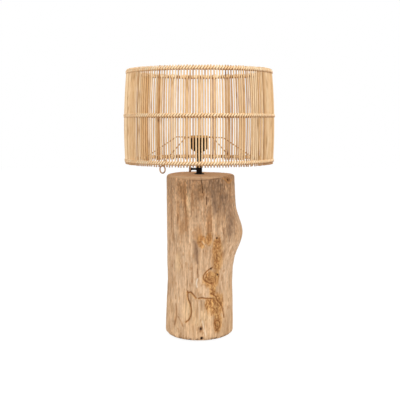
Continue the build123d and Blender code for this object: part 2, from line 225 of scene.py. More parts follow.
# Patterns on the log's side: size across the grain and along it, layers of noise, and seed.
# The sway bends the grain by its reach, and the veins' width is a step of their noise.
SWAY = (60, 90, 1, 3)
SWAY_REACH = 0.4
GRAIN = (10, 110, 4, 11)
FIBRE = (3.4, 44, 3, 29)
FINE_FIBRE = (1.9, 34, 2, 37)
WEAVE = (2.6, 22, 3, 89)
MOTTLE = (22, 34, 3, 41)
STREAKING = (2.6, 40, 2, 59)
CHEWING = (6, 11, 3, 53)
VEINS = (8, 13, 2, 61)
VEIN_WIDTH = 0.13
GRIT = (2.4, 5, 2, 101)
BLOTS = (4, 12, 2, 103)
FLECKS = (3, 10, 2, 79)
FOOT_SPECKS = (5, 5, 2, 67)
FOOT_SPECK_TOP = 9.0
FOOT_SPECK_FULL = 2.0

# The stretch of the log where the grain is calmer: middle and spread as shares of the height
CALM_LEVEL = 0.54
CALM_SPREAD = 0.15
CALM_SHARE = 0.36

# Relief of the log's side
GRAIN_RELIEF = 0.55
FIBRE_RELIEF = 0.26
FINE_RELIEF = 0.12
MOTTLE_RELIEF = 0.7
GALLERY_DEPTH = 0.8
CHEWING_DEPTH = 1.1
VEIN_DEPTH = 0.6
GALLERY_TRACK_WIDTH = 1.5
GALLERY_TRACK_DEPTH = 1.2
BROWN_STREAK_DEPTH = 0.8
GREY_STREAK_DEPTH = 1.0
PALE_STREAK_WIDTH = 1.4
TRACK_WIDTH = 1.7
TRACK_DEPTH = 2.0
CRACK_DEPTH = 3.0
KNOT_RIM_WIDTH = 2.4
KNOT_RIM_RISE = 0.8
KNOT_EYE_WIDTH = 1.6
KNOT_EYE_DEPTH = 3.0
SPECK_DEPTH = 1.2
RIM_CALM = 9.0

# Light ridge beside a beetle track: its offset as a turn and a height, and its width
GALLERY_RIDGE = (1.9, 1.0, 1.8)
TRACK_RIDGE = (-1.6, -1.0, 1.6)

# Marks on the log. A point is a turn from +X and a height over the log's foot. A patch is such a
# point with a half turn and a half height, and a gallery also has a count of beetle tracks.
GREY_PATCHES = (
    (-64, 350, 22, 34), (-50, 320, 24, 34), (-34, 288, 14, 44), (-97, 208, 5, 26), (-40, 258, 8, 24),
    (60, 330, 20, 40), (118, 296, 16, 50), (164, 352, 14, 26), (100, 120, 12, 40),
)
BROWN_PATCHES = (
    (-125, 350, 9, 26), (-117, 335, 6, 44), (-90, 345, 7, 22), (-76, 272, 6, 32), (-112, 285, 3, 34),
    (-93, 248, 9, 24), (-129, 300, 5, 34), (-122, 262, 7, 20), (40, 250, 8, 40), (150, 240, 9, 44),
    (95, 340, 8, 30), (168, 130, 8, 40), (20, 120, 8, 36),
)
PALE_PATCHES = (
    (-108, 72, 12, 26), (-80, 60, 12, 20), (-110, 318, 4, 30), (-130, 180, 8, 26), (-90, 45, 14, 14),
    (75, 200, 14, 40), (140, 60, 14, 30), (10, 60, 12, 30),
)
GALLERIES = (
    (-87, 231, 8, 18, 3),
    (-76, 238, 7, 22, 3),
    (-61, 214, 11, 24, 5),
    (-58.5, 190, 13.5, 36, 9),
    (-69.5, 143, 16, 24, 5),
    (-58, 150, 6, 18, 2),
    (-67, 116, 7, 20, 3),
    (-60.5, 82, 19, 30, 14),
    (-75, 85, 8, 14, 4),
    (-57, 40, 10, 26, 6),
    (128, 190, 9, 34, 5),
    (112, 150, 10, 22, 4),
)
KNOT = (-37, 370, 10, 8)
KNOT_RIM = ((-50, 375), (-42, 370), (-35, 361), (-28, 366), (-23, 371))
KNOT_EYE = ((-37.4, 370.6), (-36.4, 368.4))

# Lines on the log: the points, then a width and a strength, or one of the two
BROWN_STREAKS = (
    (((-117, 370), (-116, 333), (-115, 295), (-114.6, 256)), 1.5, 0.95),
    (((-103, 363), (-102.5, 332), (-101, 302)), 1.2, 0.6),
    (((-73.8, 315), (-72, 289), (-71.6, 255)), 1.4, 1.0),
    (((-77.7, 276), (-76.6, 264), (-76, 250)), 1.8, 0.7),
    (((-83, 305), (-80.7, 288)), 1.1, 0.5),
    (((-130, 292), (-131.5, 273)), 1.7, 0.75),
    (((-129, 362), (-123, 353), (-124.3, 348), (-126.8, 340)), 2.0, 0.4),
    (((-134, 82), (-131.5, 60), (-135, 34)), 2.2, 0.9),
    (((-128, 54), (-122, 45), (-118, 34)), 1.8, 0.7),
    (((-96, 40), (-94, 26)), 1.6, 0.5),
    (((-87.2, 33), (-87.9, 24)), 3.0, 0.85),
    (((-121, 190), (-120, 150)), 1.4, 0.35),
    (((-104, 160), (-103, 128)), 1.4, 0.35),
    (((45, 340), (46, 300), (44, 262)), 1.7, 0.7),
    (((82, 300), (84, 255)), 1.5, 0.6),
    (((140, 350), (138, 310), (139, 280)), 1.8, 0.7),
    (((160, 180), (158, 140)), 1.6, 0.5),
    (((15, 200), (17, 160), (14, 120)), 1.6, 0.5),
    (((100, 80), (98, 50)), 1.5, 0.5),
)
GREY_STREAKS = (
    (((-99.6, 232), (-97.5, 206), (-94.5, 183)), 3.2, 0.72),
    (((-87, 94), (-86, 74)), 2.2, 0.45),
    (((-93.5, 168), (-92, 150)), 1.4, 0.4),
    (((-109.3, 364), (-107.5, 354)), 3.5, 0.35),
    (((-68.4, 323), (-66.4, 315), (-64.7, 307), (-63.6, 299)), 2.2, 0.7),
    (((-51.5, 332), (-51.2, 325), (-50, 317)), 2.2, 0.75),
    (((-34.4, 320), (-31.1, 303), (-33.2, 285), (-37.2, 278)), 4.0, 0.45),
    (((-34.6, 272), (-34.5, 267)), 2.0, 0.6),
    (((-49.3, 257), (-49.8, 247)), 1.8, 0.4),
)
PALE_STREAKS = (
    (((-93.8, 146), (-96, 136), (-94.5, 127)), 0.95),
    (((-85, 48), (-82, 30), (-79, 15)), 0.6),
    (((-87, 232), (-84, 228), (-81.7, 222)), 0.45),
    (((-91, 92), (-90.4, 70), (-90, 52)), 0.3),
)
CRACKS = (
    (((-88.5, 380), (-88.3, 370), (-87.3, 361), (-87, 352)), 0.9),
    (((-87, 352), (-87.3, 343)), 0.6),
    (((-80.7, 333), (-81.2, 317)), 0.8),
    (((93, 380), (92.5, 362), (94, 340), (93.4, 318)), 1.0),
    (((150, 378), (150.5, 364)), 0.7),
    (((30, 60), (31, 30), (30.4, 8)), 0.8),
)
BEETLE_TRACKS = (
    ((-111.3, 116), (-110.3, 99), (-105.8, 89), (-103.4, 76), (-103.4, 63), (-107, 50), (-112.6, 44)),
    ((-110.6, 112), (-105.2, 115), (-100.9, 109), (-96, 101.5)),
    ((-91.6, 100.5), (-85.5, 102.5), (-79.3, 99.5), (-68.4, 99)),
    ((-68, 171), (-76.6, 165), (-83.8, 154), (-83.8, 143), (-76.4, 136), (-68.7, 133)),
    ((-70.7, 110), (-60, 103), (-58.8, 93), (-48, 81), (-45.5, 66), (-43, 50)),
    ((-60.7, 34), (-64, 42), (-57, 47), (-51.8, 39), (-53, 28), (-60.8, 22)),
)

# Small holes: a turn, a height, a width and a depth
HOLES = (
    (-61.7, 238.7, 1.5, 4.0),
    (-57.0, 152.6, 1.7, 1.5),
    (-70.2, 168.5, 1.6, 1.5),
    (-87.2, 29.5, 2.4, 4.0),
    (-85.6, 7.0, 2.7, 9.0),
    (120.5, 201, 1.6, 4.0),
    (136, 170, 1.5, 4.0),
    (52, 90, 1.6, 4.0),
)
HOLE_LENGTH = 1.0

# Short tracks in the galleries: spread about the middle, turning, and the step as a turn and a height
TRACK_SEED = 31
TRACK_SPREAD = (0.34, 0.38)
TRACK_BEND = 0.5
TRACK_WANDER = 0.3
TRACK_STEPS = (4, 9)
TRACK_STEP = (2.0, 3.4)

# The log's sawn top: its low edge as seen from the front, growth rings, saw marks and cracks.
# A line along the edge is a drop and a width, and fades in and out over pairs of turns.
# A crack is a turn, and where it starts and ends from the middle.
CUT_EDGE = (
    (-180, 375), (-155, 375.4), (-139, 374.6), (-105, 373.2), (-88, 373.2), (-76, 373.8), (-61, 376),
    (-49, 378), (-30, 379), (180, 375),
)
CUT_EDGE_LINE = (1.2, 1.1)
CUT_FRONT = ((-165, -150), (-44, -52))
CUT_LINE_FRONT = ((-112, -100), (-48, -58))
# A painted highlight along the top's edge at the front: a drop and a width
ARRIS_HIGHLIGHT = (1.8, 1.0)
PITH = (-8.0, 10.0)
RING_SPACING = 5.5
RING_WANDER = 5.0
SAW_MARK_LENGTH = 70.0
SAW_MARK_WIDTH = 2.6
TOP_BLOTCH = 18.0
TOP_WANDER = 26.0
TOP_CRACKS = ((-88.5, 68, 90), (-171, 20, 56), (35, 18, 60), (118, 22, 74))
TOP_CRACK_WIDTH = 0.9
TOP_CRACK_WANDER = 1.2
TOP_CRACK_DEPTH = 1.6
TOP_CRACK_TAPER = 6.0
RING_DEPTH = 0.25
SAW_MARK_DEPTH = 0.2
TOP_HOLE_RADIUS = SLEEVE_RADIUS + SEAT_CLEARANCE
TOP_CALM = 14.0
TOP_BACK_RISE = 1.5
TOP_RISE_BACK = (18, 70)
TOP_RISE_LEFT = (35, -25)
TOP_RISE_DEPTHS = (25, 2)

# Shade
HOOPS = ("bottom", "middle", "top")
CANE_COUNT = 167
FIRST_CANE_TURN = -90.0
CANE_RADIUS = 1.6
CANE_FOOT, CANE_TIP = levels_mm("shade_canes")
RING_RADIUS = 2.2
RING_INSET = 3.9
LEVELS = [sum(levels_mm(f"{hoop}_lashing")) / 2 for hoop in HOOPS]
RADII = [high_mm(f"{hoop}_wire_ring", X) - RING_RADIUS + RING_INSET for hoop in HOOPS]
CANE_CURVE = np.polyfit(LEVELS, RADII, 2)
PITCH = 2 * math.pi / CANE_COUNT
FIRST_TURN = math.radians(FIRST_CANE_TURN)
ARM_RADIUS = 1.35
ARM_BEND_AT = 72.0
ARM_BEND_RADIUS = 12.0
ARM_TURNS = (64.0, 139.5, 244.0, 319.5)
ARM_OVERLAP = 1.0
LOOP_TURN = 242.0
LOOP_WIDTH = 12.8
LOOP_HEIGHT = 15.8
LOOP_CANE_RADIUS = 1.5
LOOP_DROP = 13.5
LOOP_SPOT = 6.0

# How single canes differ: ends, girth, bend, shift and splay of the foot
CANE_SEED = 12
CANE_NOISE_STEP = 3.7
CANE_FOOT_TRIM = (0.1, 0.9)
CANE_TIP_TRIM = (0.2, 1.2)
CANE_GIRTHS = (0.94, 1.12)
CANE_GIRTH_CHANGE = 0.05
CANE_GIRTH_LENGTH = 22.0
CANE_BEND = 0.45
CANE_BEND_LENGTH = 50.0
CANE_SHIFT = 0.28
CANE_SHIFT_LIMIT = 0.5
CANE_SPLAY = 0.45

# Tints of the canes. A mark is a turn, a level and a half height.
CANE_GOLD = (222, 174, 118)
CANE_PALE = (248, 220, 180)
CANE_STAIN = (168, 118, 72)
# The next colour is painted shade on the canes' feet, under the bottom hoop's winding
CANE_TAIL_SHADE = (176, 122, 74)
CANE_MARK = (104, 66, 38)
CANE_TINT = 0.55
CANE_TINT_SPREAD = 0.2
CANE_GROUP = 2.6
CANE_GROUP_SPREAD = 0.62
CANE_BROWN_SHARE = 0.12
CANE_MOTTLE = (9, 12, 15)
CANE_MOTTLE_LENGTH = 14.0
CANE_STAINS = 0.4
CANE_STAIN_REACH = (3, 12)
CANE_MARKS = (
    (-71.3, 603, 6),
    (65, 424, 6),
    (91, 608, 4),
    (-119.4, 507, 3),
    (-62, 560, 3),
    (150, 470, 8),
)

# Split-cane winding of the hoops, and the colours of the loop
WINDING_SEED = 40
WINDING_RISE = 3.8
WINDING_RISES = (0.9, 1.08)
WINDING_LIFT = 0.12
WINDING_CROSSING = (0.08, 0.92)
WINDING_SWELL = 0.55
STRIP_WIDTH = 4.2
STRIP_THICKNESS = 1.4
STRIP_GAP = 0.25
# STRIP_EDGE_SHADE, STRIP_EDGE_POWER and STRIP_EDGE paint shade along the edges of each wrap, where the
# wraps meet
STRIP_EDGE_SHADE = 0.5
STRIP_EDGE_POWER = 8
# STRIP_LIT and STRIP_SHADE are painted shade: each wrap darkens towards its lower side
STRIP_LIT = (-1.0, -0.35)
STRIP_TINT_SPREAD = 0.3
STRIP_GOLD = (252, 208, 156)
STRIP_PALE = (255, 232, 194)
STRIP_SHADE = (158, 102, 56)
STRIP_EDGE = (150, 92, 48)
LOOP_COLOUR = (196, 152, 112)
LOOP_DARK = (118, 82, 54)

# Fineness of the meshes
LOG_COLUMNS = 400
LOG_EDGE_ROWS = 12
LOG_ROW_STEP = 1.0
LOG_TOP_ROWS = 46
LOG_RIM_ROWS_SAWN = 3
BORE_DEPTHS = (0.8, 6.0, 14.0, 24.0)
CANE_ROWS = 40
CANE_SIDES = 8
STRIP_STEPS = 8
STRIP_SIDES = 8
RING_STEPS = 180
RING_SIDES = 10
BEND_STEPS = 9
WIRE_SIDES = 12
LOOP_STEPS = 48
LOOP_NECK_STEPS = 6
DOME_STEPS = 14
THREAD_STEPS = 60
TURNED_SEGMENTS = 96
SMALL_SEGMENTS = 48
KNOB_SEGMENTS = 144
CLAMP_SEGMENTS = 192
CREASE = 38


# Small helpers


def linear(colour):
    """An sRGB colour of 0 to 255 as linear light."""
    c = np.asarray(colour, dtype=float) / 255.0
    return np.where(c <= 0.04045, c / 12.92, ((c + 0.055) / 1.055) ** 2.4)


def blend(first, second, share):
    """A colour that goes from first to second as the share goes from 0 to 1."""
    return np.asarray(first, dtype=float) * (1 - share) + np.asarray(second, dtype=float) * share


def smoothstep(low, high, x):
    t = np.clip((x - low) / (high - low), 0.0, 1.0)
    return t * t * (3.0 - 2.0 * t)


def bell(x, middle, reach):
    """A soft spot: 1 at the middle and almost 0 at twice its reach."""
    return np.exp(-((x - middle) / reach) ** 2)


def lattice(ix, iy, iz, seed):
    """Pseudo-random numbers from -1 to 1 at whole-number grid points, by an integer hash."""
    n = ix * 374761393 + iy * 668265263 + iz * 1440662683 + seed * 1274126177
    n = (n ^ (n >> 13)) * 1274126177
    n = n & 0x7FFFFFFF
    n = (n ^ (n >> 16)) & 0xFFFF
    return n / 32767.5 - 1.0


def noise(x, y, z, seed):
    """Smooth value noise from -1 to 1."""
    x, y, z = np.broadcast_arrays(x, y, z)
    fx, fy, fz = np.floor(x), np.floor(y), np.floor(z)
    ix, iy, iz = fx.astype(np.int64), fy.astype(np.int64), fz.astype(np.int64)
    tx, ty, tz = (smoothstep(0, 1, t) for t in (x - fx, y - fy, z - fz))
    total = 0.0
    for dx in (0, 1):
        for dy in (0, 1):
            for dz in (0, 1):
                weight = (tx if dx else 1 - tx) * (ty if dy else 1 - ty) * (tz if dz else 1 - tz)
                total = total + weight * lattice(ix + dx, iy + dy, iz + dz, seed)
    return total


def layered(x, y, z, layers, seed):
    """Several layers of noise, each finer and weaker."""
    total, size, reach = 0.0, 1.0, 0.0
    for layer in range(layers):
        k = 2.0 ** layer
        total = total + size * noise(x * k, y * k, z * k, seed + 17 * layer)
        reach += size
        size *= 0.55
    return 1.5 * total / reach


def around(radius, turn, level):
    """Points at a radius from the upright axis, a turn in radians and a level."""
    radius, turn, level = np.broadcast_arrays(radius, turn, level)
    return np.stack([radius * np.cos(turn), radius * np.sin(turn), level], axis=-1)


def circle(radius, sides):
    return around(radius, np.arange(sides) * 2 * math.pi / sides, 0.0)[:, :2]


def grid_faces(rows, columns, close_rows=False):
    """Quads of a grid whose columns wrap round, and its rows too where they close."""
    faces = []
    for row in range(rows if close_rows else rows - 1):
        a = row * columns
        b = ((row + 1) % rows) * columns
        for column in range(columns):
            following = (column + 1) % columns
            faces.append((a + column, a + following, b + following, b + column))
    return faces


def swept(points, outline, normal, closed=False):
    """Verts and faces of an outline of (aside, outward) points carried along a path.

    normal holds the outward direction at each path point.
    """
    points = np.asarray(points, dtype=float)
    if closed:
        run = np.roll(points, -1, axis=0) - np.roll(points, 1, axis=0)
    else:
        run = np.gradient(points, axis=0)
    run /= np.linalg.norm(run, axis=1, keepdims=True)
    outward = normal - run * np.sum(normal * run, axis=1, keepdims=True)
    outward /= np.linalg.norm(outward, axis=1, keepdims=True)
    aside = np.cross(run, outward)
    across, out = np.asarray(outline, dtype=float).T[:, None, :, None]
    verts = points[:, None, :] + aside[:, None, :] * across + outward[:, None, :] * out
    rows, sides = len(points), len(outline)
    faces = grid_faces(rows, sides, closed)
    if not closed:
        faces.append(tuple(range(sides)))
        faces.append(tuple((rows - 1) * sides + i for i in range(sides)))
    return verts.reshape(-1, 3), faces


def joined(parts):
    """Several lots of verts and faces as one."""
    verts, faces, start = [], [], 0
    for some_verts, some_faces in parts:
        verts.append(some_verts)
        faces += [tuple(start + i for i in face) for face in some_faces]
        start += len(some_verts)
    return np.concatenate(verts), faces


def make_piece(name, verts, faces, finish, body, node=None, paint=None, crease=None):
    """A mesh object that rides on a body and stands for a node, with sRGB paint on its verts."""
    mesh = bpy.data.meshes.new(name)
    mesh.from_pydata([tuple(v) for v in np.asarray(verts) * MM], [], faces)
    shell = bmesh.new()
    shell.from_mesh(mesh)
    bmesh.ops.recalc_face_normals(shell, faces=shell.faces)
    shell.to_mesh(mesh)
    shell.free()
    mesh.polygons.foreach_set("use_smooth", [True] * len(mesh.polygons))
    if crease is not None:
        mesh.set_sharp_from_angle(angle=math.radians(crease))
    if paint is not None:
        layer = mesh.color_attributes.new("paint", "FLOAT_COLOR", "POINT")
        colours = np.ones((len(mesh.vertices), 4))
        colours[:, :3] = linear(np.clip(paint, 0, 255))
        layer.data.foreach_set("color", colours.ravel())
    mesh.materials.append(finish.material)
    piece = bpy.data.objects.new(name, mesh)
    bpy.context.scene.collection.objects.link(piece)
    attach(piece, body)
    if node:
        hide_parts(node)


# Materials


class Nodes:
    """Short calls for a tree of shader nodes."""

    def __init__(self, tree):
        self.tree = tree

    def feed(self, node, inputs):
        """Set a node's inputs to values, or link them to outputs of other nodes."""
        for key, value in inputs.items():
            if isinstance(value, bpy.types.NodeSocket):
                self.tree.links.new(value, node.inputs[key])
            else:
                node.inputs[key].default_value = value

    def node(self, kind, output, inputs=None, **settings):
        """The named output of a new node."""
        made = self.tree.nodes.new(kind)
        for key, value in settings.items():
            setattr(made, key, value)
        self.feed(made, inputs or {})
        return made.outputs[output]

    def any_ray(self, *kinds):
        """1 for a ray of one of the kinds, and 0 for others."""
        paths = self.tree.nodes.new("ShaderNodeLightPath").outputs
        share = paths[kinds[0]]
        for kind in kinds[1:]:
            share = self.node("ShaderNodeMath", "Value", {0: share, 1: paths[kind]}, operation="MAXIMUM")
        return share

    def surface(self, share, first, second, output):
        """Put a mix of two shaders on the output."""
        mix = self.node("ShaderNodeMixShader", "Shader", {"Fac": share, 1: first, 2: second})
        self.feed(self.tree.nodes[output], {"Surface": mix})


class Material(Nodes):
    """A node material, with the slot of the record that it stands for."""

    def __init__(self, name, slot=None):
        self.material = bpy.data.materials.new(name)
        self.material.use_nodes = True
        self.slot = slot or name
        super().__init__(self.material.node_tree)
        self.shader = self.tree.nodes["Principled BSDF"]

    def noise(self, scale, stretch=(1, 1, 1), detail=3.0, rough=0.55):
        place = self.node("ShaderNodeTexCoord", "Object")
        mapped = self.node("ShaderNodeMapping", "Vector", {"Vector": place, "Scale": stretch})
        sizes = {"Vector": mapped, "Scale": scale, "Detail": detail, "Roughness": rough}
        return self.node("ShaderNodeTexNoise", "Fac", sizes)

    def ramp(self, factor, *stops):
        """Colour ramp; each stop is a place and a linear colour."""
        ramp = self.tree.nodes.new("ShaderNodeValToRGB")
        elements = ramp.color_ramp.elements
        while len(elements) < len(stops):
            elements.new(0.5)
        for element, (place, colour) in zip(elements, stops):
            element.position = place
            element.color = (*colour, 1.0)
        self.feed(ramp, {"Fac": factor})
        return ramp.outputs["Color"]

    def painted(self, fibres, share):
        """The colour painted on the verts, darkened by the fibres."""
        paint = self.node("ShaderNodeAttribute", "Color", attribute_name="paint")
        return self.node("ShaderNodeMix", "Result", {"Factor": share, "A": paint, "B": fibres},
                         data_type="RGBA", blend_type="MULTIPLY")

    def spread(self, factor, low, high):
        """A value from low to high as the factor goes from 0 to 1."""
        return self.node("ShaderNodeMapRange", "Result", {"Value": factor, "To Min": low, "To Max": high})

    def bump(self, height, distance, strength):
        sizes = {"Height": height, "Distance": distance, "Strength": strength}
        return self.node("ShaderNodeBump", "Normal", sizes)

    def look(self, colour, roughness, normal, shine=0.5, metallic=0.0):
        """Give the surface its colour, roughness, bumps and shine."""
        self.feed(self.shader, {"Base Color": colour, "Roughness": roughness, "Normal": normal,
                                "Specular IOR Level": shine, "Metallic": metallic})
        return self


def wood_material():
    """Bare weathered log wood: painted colour, long fine grain and a dry surface."""
    m = Material("log_wood")
    grain = m.noise(210.0, stretch=(1.0, 1.0, 0.07), detail=5.0, rough=0.65)
    fibres = m.ramp(grain, (0.3, (0.72, 0.67, 0.62)), (0.52, (1.0, 1.0, 1.0)), (0.8, (1.1, 1.08, 1.06)))
    bumps = m.bump(grain, distance=0.0006, strength=0.6)
    return m.look(m.painted(fibres, share=0.85), m.spread(grain, low=0.68, high=0.92), bumps, shine=0.2)


def cane_material(name, low, high):
    """Peeled cane: painted colour, fine lengthways fibres and a slight gloss."""
    m = Material(name)
    grain = m.noise(700.0, stretch=(1.0, 1.0, 0.05), detail=3.0, rough=0.6)
    fibres = m.ramp(grain, (0.3, (0.82, 0.77, 0.70)), (0.6, (1.0, 1.0, 1.0)), (0.85, (1.05, 1.04, 1.02)))
    bumps = m.bump(grain, distance=0.0002, strength=0.5)
    return m.look(m.painted(fibres, share=0.7), m.spread(grain, low, high), bumps, shine=0.3)


def metal_material(name, dark, light, low, high, metallic, shine=0.5, slot=None):
    """Coated or aged metal with faint blotches and uneven gloss."""
    m = Material(name, slot)
    blotch = m.ramp(m.noise(160.0, detail=4.0, rough=0.6), (0.35, linear(dark)), (0.7, linear(light)))
    fine = m.noise(1500.0, detail=2.0)
    bumps = m.bump(fine, distance=0.00005, strength=0.4)
    return m.look(blotch, m.spread(fine, low, high), bumps, shine, metallic)


def felt_material(dark, light):
    """Short dark fuzz."""
    m = Material("felt")
    fuzz = m.noise(2500.0, detail=4.0, rough=0.7)
    colour = m.ramp(fuzz, (0.3, linear(dark)), (0.8, linear(light)))
    return m.look(colour, 0.95, m.bump(fuzz, distance=0.0004, strength=0.8))


def plastic_material(name, dark, light, rough):
    """Moulded plastic or ceramic with a faint grain."""
    m = Material(name)
    grain = m.noise(1800.0, detail=2.0)
    colour = m.ramp(grain, (0.3, linear(dark)), (0.8, linear(light)))
    gloss = m.spread(grain, rough - 0.06, rough + 0.06)
    return m.look(colour, gloss, m.bump(grain, distance=0.00005, strength=0.3))


LOG_WOOD = wood_material()
CANE = cane_material("cane", low=0.5, high=0.75)
SPLIT_CANE = cane_material("split_cane", low=0.42, high=0.65)
LOOP_CANE = cane_material("loop_cane", low=0.5, high=0.75)
DARK_METAL = metal_material(
    "dark_metal", (13, 7, 5), (24, 14, 9), low=0.42, high=0.6, metallic=0.0, shine=0.06)
BRONZE = metal_material(
    "bronze", (132, 100, 76), (182, 146, 116), low=0.35, high=0.5, metallic=0.4)
WIRE_STEEL = metal_material(
    "wire_steel", (170, 122, 78), (208, 162, 114), low=0.45, high=0.65, metallic=0.1)
# A darker copy of the wire steel for the rings: painted shade where they lie under the winding
SHADED_WIRE = metal_material(
    "shaded_wire", (126, 86, 52), (164, 118, 76), low=0.5, high=0.7, metallic=0.2, slot="wire_steel")
BRASS = metal_material(
    "brass", (190, 148, 78), (222, 184, 112), low=0.22, high=0.35, metallic=1.0)
FELT = felt_material((30, 25, 22), (66, 58, 50))
BLACK_PLASTIC = plastic_material("black_plastic", (16, 15, 14), (30, 28, 26), rough=0.5)
INSULATOR = plastic_material("insulator", (205, 198, 184), (224, 218, 205), rough=0.45)


# Log


def log_trunk(height, turn):
    """Lean and radius of the log's side at heights over its foot and turns from +X."""
    shares, leans, swells = (np.array(column) for column in zip(*LOG_PROFILE))
    share = height / LOG_HEIGHT
    lean = np.interp(share, shares, leans)
    radius = LOG_RADIUS + np.interp(share, shares, swells)
    up = (height - BURL_HEIGHT) / BURL_SPREAD
    aside = ((turn - BURL_TURN + 180) % 360 - 180) / BURL_ARC
    radius = radius + BURL_REACH * np.exp(-(up * up + aside * aside) / 2)
    radius = radius + LOG_LOBE_SWELL * np.cos(np.radians(LOG_LOBES * (turn - LOG_LOBE_TURN)))
    return lean, radius


def softened(points):
    """A line of points with its corners cut back twice."""
    line = np.array(points, dtype=float)
    for _ in range(2):
        if len(line) > 2:
            near, far = line[:-1], line[1:]
            cut = np.stack([0.75 * near + 0.25 * far, 0.25 * near + 0.75 * far], axis=1).reshape(-1, 2)
            line = np.concatenate([line[:1], cut[1:-1], line[-1:]])
    return line


class LogSkin:
    """The log's side as a grid of turns and heights, with its patterns, colour and relief."""

    def __init__(self, turn, height, x, y):
        self.turn, self.height = turn, height
        self.x, self.y, self.z = x, y, height[:, None] + 0 * x
        self.colour = np.zeros((*x.shape, 3))
        self.relief = np.zeros(x.shape)
        self.level = height[:, None] / LOG_HEIGHT
        self.calm = 1 - CALM_SHARE * bell(self.level, CALM_LEVEL, CALM_SPREAD)
        self.sway = SWAY_REACH * self.pattern(SWAY)
        self.grain = self.pattern(GRAIN, self.sway)
        self.fibre = self.pattern(FIBRE, self.sway)
        self.fine = self.pattern(FINE_FIBRE, self.sway)
        self.mottle = self.pattern(MOTTLE)
        self.weathered = self.patches(GREY_PATCHES)

    def pattern(self, sizes, sway=0.0):
        across, along, layers, seed = sizes
        return layered(self.x / across + sway, self.y / across + sway, self.z / along, layers, seed)

    def patch(self, turn, height, half_turn, half_height):
        """Share of a soft oval patch."""
        across = (self.turn[None, :] - turn) / half_turn
        up = (self.height[:, None] - height) / half_height
        return np.exp(-(across ** 2 + up ** 2))

    def patches(self, rows):
        """Share of the strongest of several patches."""
        return np.maximum.reduce([self.patch(*row[:4]) for row in rows])

    def stroke(self, points, width, aside=0.0, up=0.0):
        """Share of a soft line along the points, moved aside and up: 1 on it and 0 a few widths away."""
        share = np.zeros(self.relief.shape)
        line = softened(points) + (aside, up)
        arc = LOG_RADIUS * np.radians(self.turn)
        line[:, 0] = LOG_RADIUS * np.radians(line[:, 0])
        reach = 3 * width
        for start, end in zip(line, line[1:]):
            low, high = np.minimum(start, end) - reach, np.maximum(start, end) + reach
            columns = np.flatnonzero((arc > low[0]) & (arc < high[0]))
            rows = np.flatnonzero((self.height > low[1]) & (self.height < high[1]))
            if not len(rows) or not len(columns):
                continue
            across = arc[columns][None, :] - start[0]
            rise = self.height[rows][:, None] - start[1]
            run = end - start
            along = np.clip((across * run[0] + rise * run[1]) / max(run @ run, 1e-9), 0, 1)
            gap = (across - along * run[0]) ** 2 + (rise - along * run[1]) ** 2
            near = np.ix_(rows, columns)
            share[near] = np.maximum(share[near], np.exp(-gap / width ** 2))
        return share

    def tint(self, share, colour, strength=1.0):
        self.colour = blend(self.colour, colour, (np.clip(share, 0, 1) * strength)[..., None])

    def groove(self, points, width, depth, colour, strength):
        share = self.stroke(points, width)
        self.relief -= depth * share
        self.tint(share, colour, strength)

    def ridge(self, points, offset, strength, within=1.0):
        """Light wood thrown up beside a track."""
        aside, up, width = offset
        self.tint(within * self.stroke(points, width, aside, up), WOOD_RIDGE, strength)


def paint_grain(skin):
    """Tones and relief of the grain, darker and browner towards the top."""
    grained = skin.calm * (0.45 * skin.grain + 0.36 * skin.fibre + 0.3 * skin.fine)
    light = 0.54 + grained + 0.24 * skin.mottle
    low = skin.level + 0.1 * skin.mottle
    high = skin.level + 0.08 * skin.mottle + 0.1 * skin.fibre
    skin.colour[:] = WOOD_MID
    skin.tint(smoothstep(0.45, 0.95, light), WOOD_LIGHT, strength=0.85)
    skin.tint(smoothstep(0.5, 0.05, light), WOOD_DARK, strength=0.75)
    skin.tint(smoothstep(0.42, 0.12, low), WOOD_HONEY, strength=0.4)
    skin.tint(smoothstep(0.5, 0.95, high), WOOD_BROWN, strength=0.5)
    skin.tint(smoothstep(0.1, 0.6, skin.mottle), WOOD_GREY, strength=0.25)
    skin.tint(smoothstep(0.3, 0.75, skin.pattern(STREAKING)), WOOD_STREAK, strength=0.34)
    skin.relief += GRAIN_RELIEF * skin.grain + FIBRE_RELIEF * skin.fibre
    skin.relief += MOTTLE_RELIEF * skin.mottle + FINE_RELIEF * skin.fine


def paint_patches(skin):
    """Weathered grey, rusty and pale patches."""
    grey = skin.weathered + 0.3 * skin.grain + 0.25 * skin.fibre
    skin.tint(smoothstep(0.15, 0.95, grey), WOOD_WEATHERED, strength=0.85)
    for row in BROWN_PATCHES:
        skin.tint(smoothstep(0.25, 0.8, skin.patch(*row) + 0.2 * skin.fibre), WOOD_RUST, strength=0.55)
    for row in PALE_PATCHES:
        skin.tint(smoothstep(0.25, 0.8, skin.patch(*row) + 0.25 * skin.mottle), WOOD_PALE, strength=0.6)


def gallery_tracks():
    """Short winding beetle tracks, strewn over the galleries."""
    dice = np.random.default_rng(TRACK_SEED)
    for turn, height, half_turn, half_height, count in GALLERIES:
        for _ in range(count):
            aside = half_turn * dice.normal(0, TRACK_SPREAD[0])
            up = half_height * dice.normal(0, TRACK_SPREAD[1])
            line = [np.array((turn + aside, height + up))]
            heading = dice.uniform(0, 2 * math.pi)
            bend = dice.normal(0, TRACK_BEND)
            for _ in range(int(dice.integers(*TRACK_STEPS))):
                heading += bend + dice.normal(0, TRACK_WANDER)
                line.append(line[-1] + np.array((math.cos(heading), math.sin(heading))) * TRACK_STEP)
            yield line


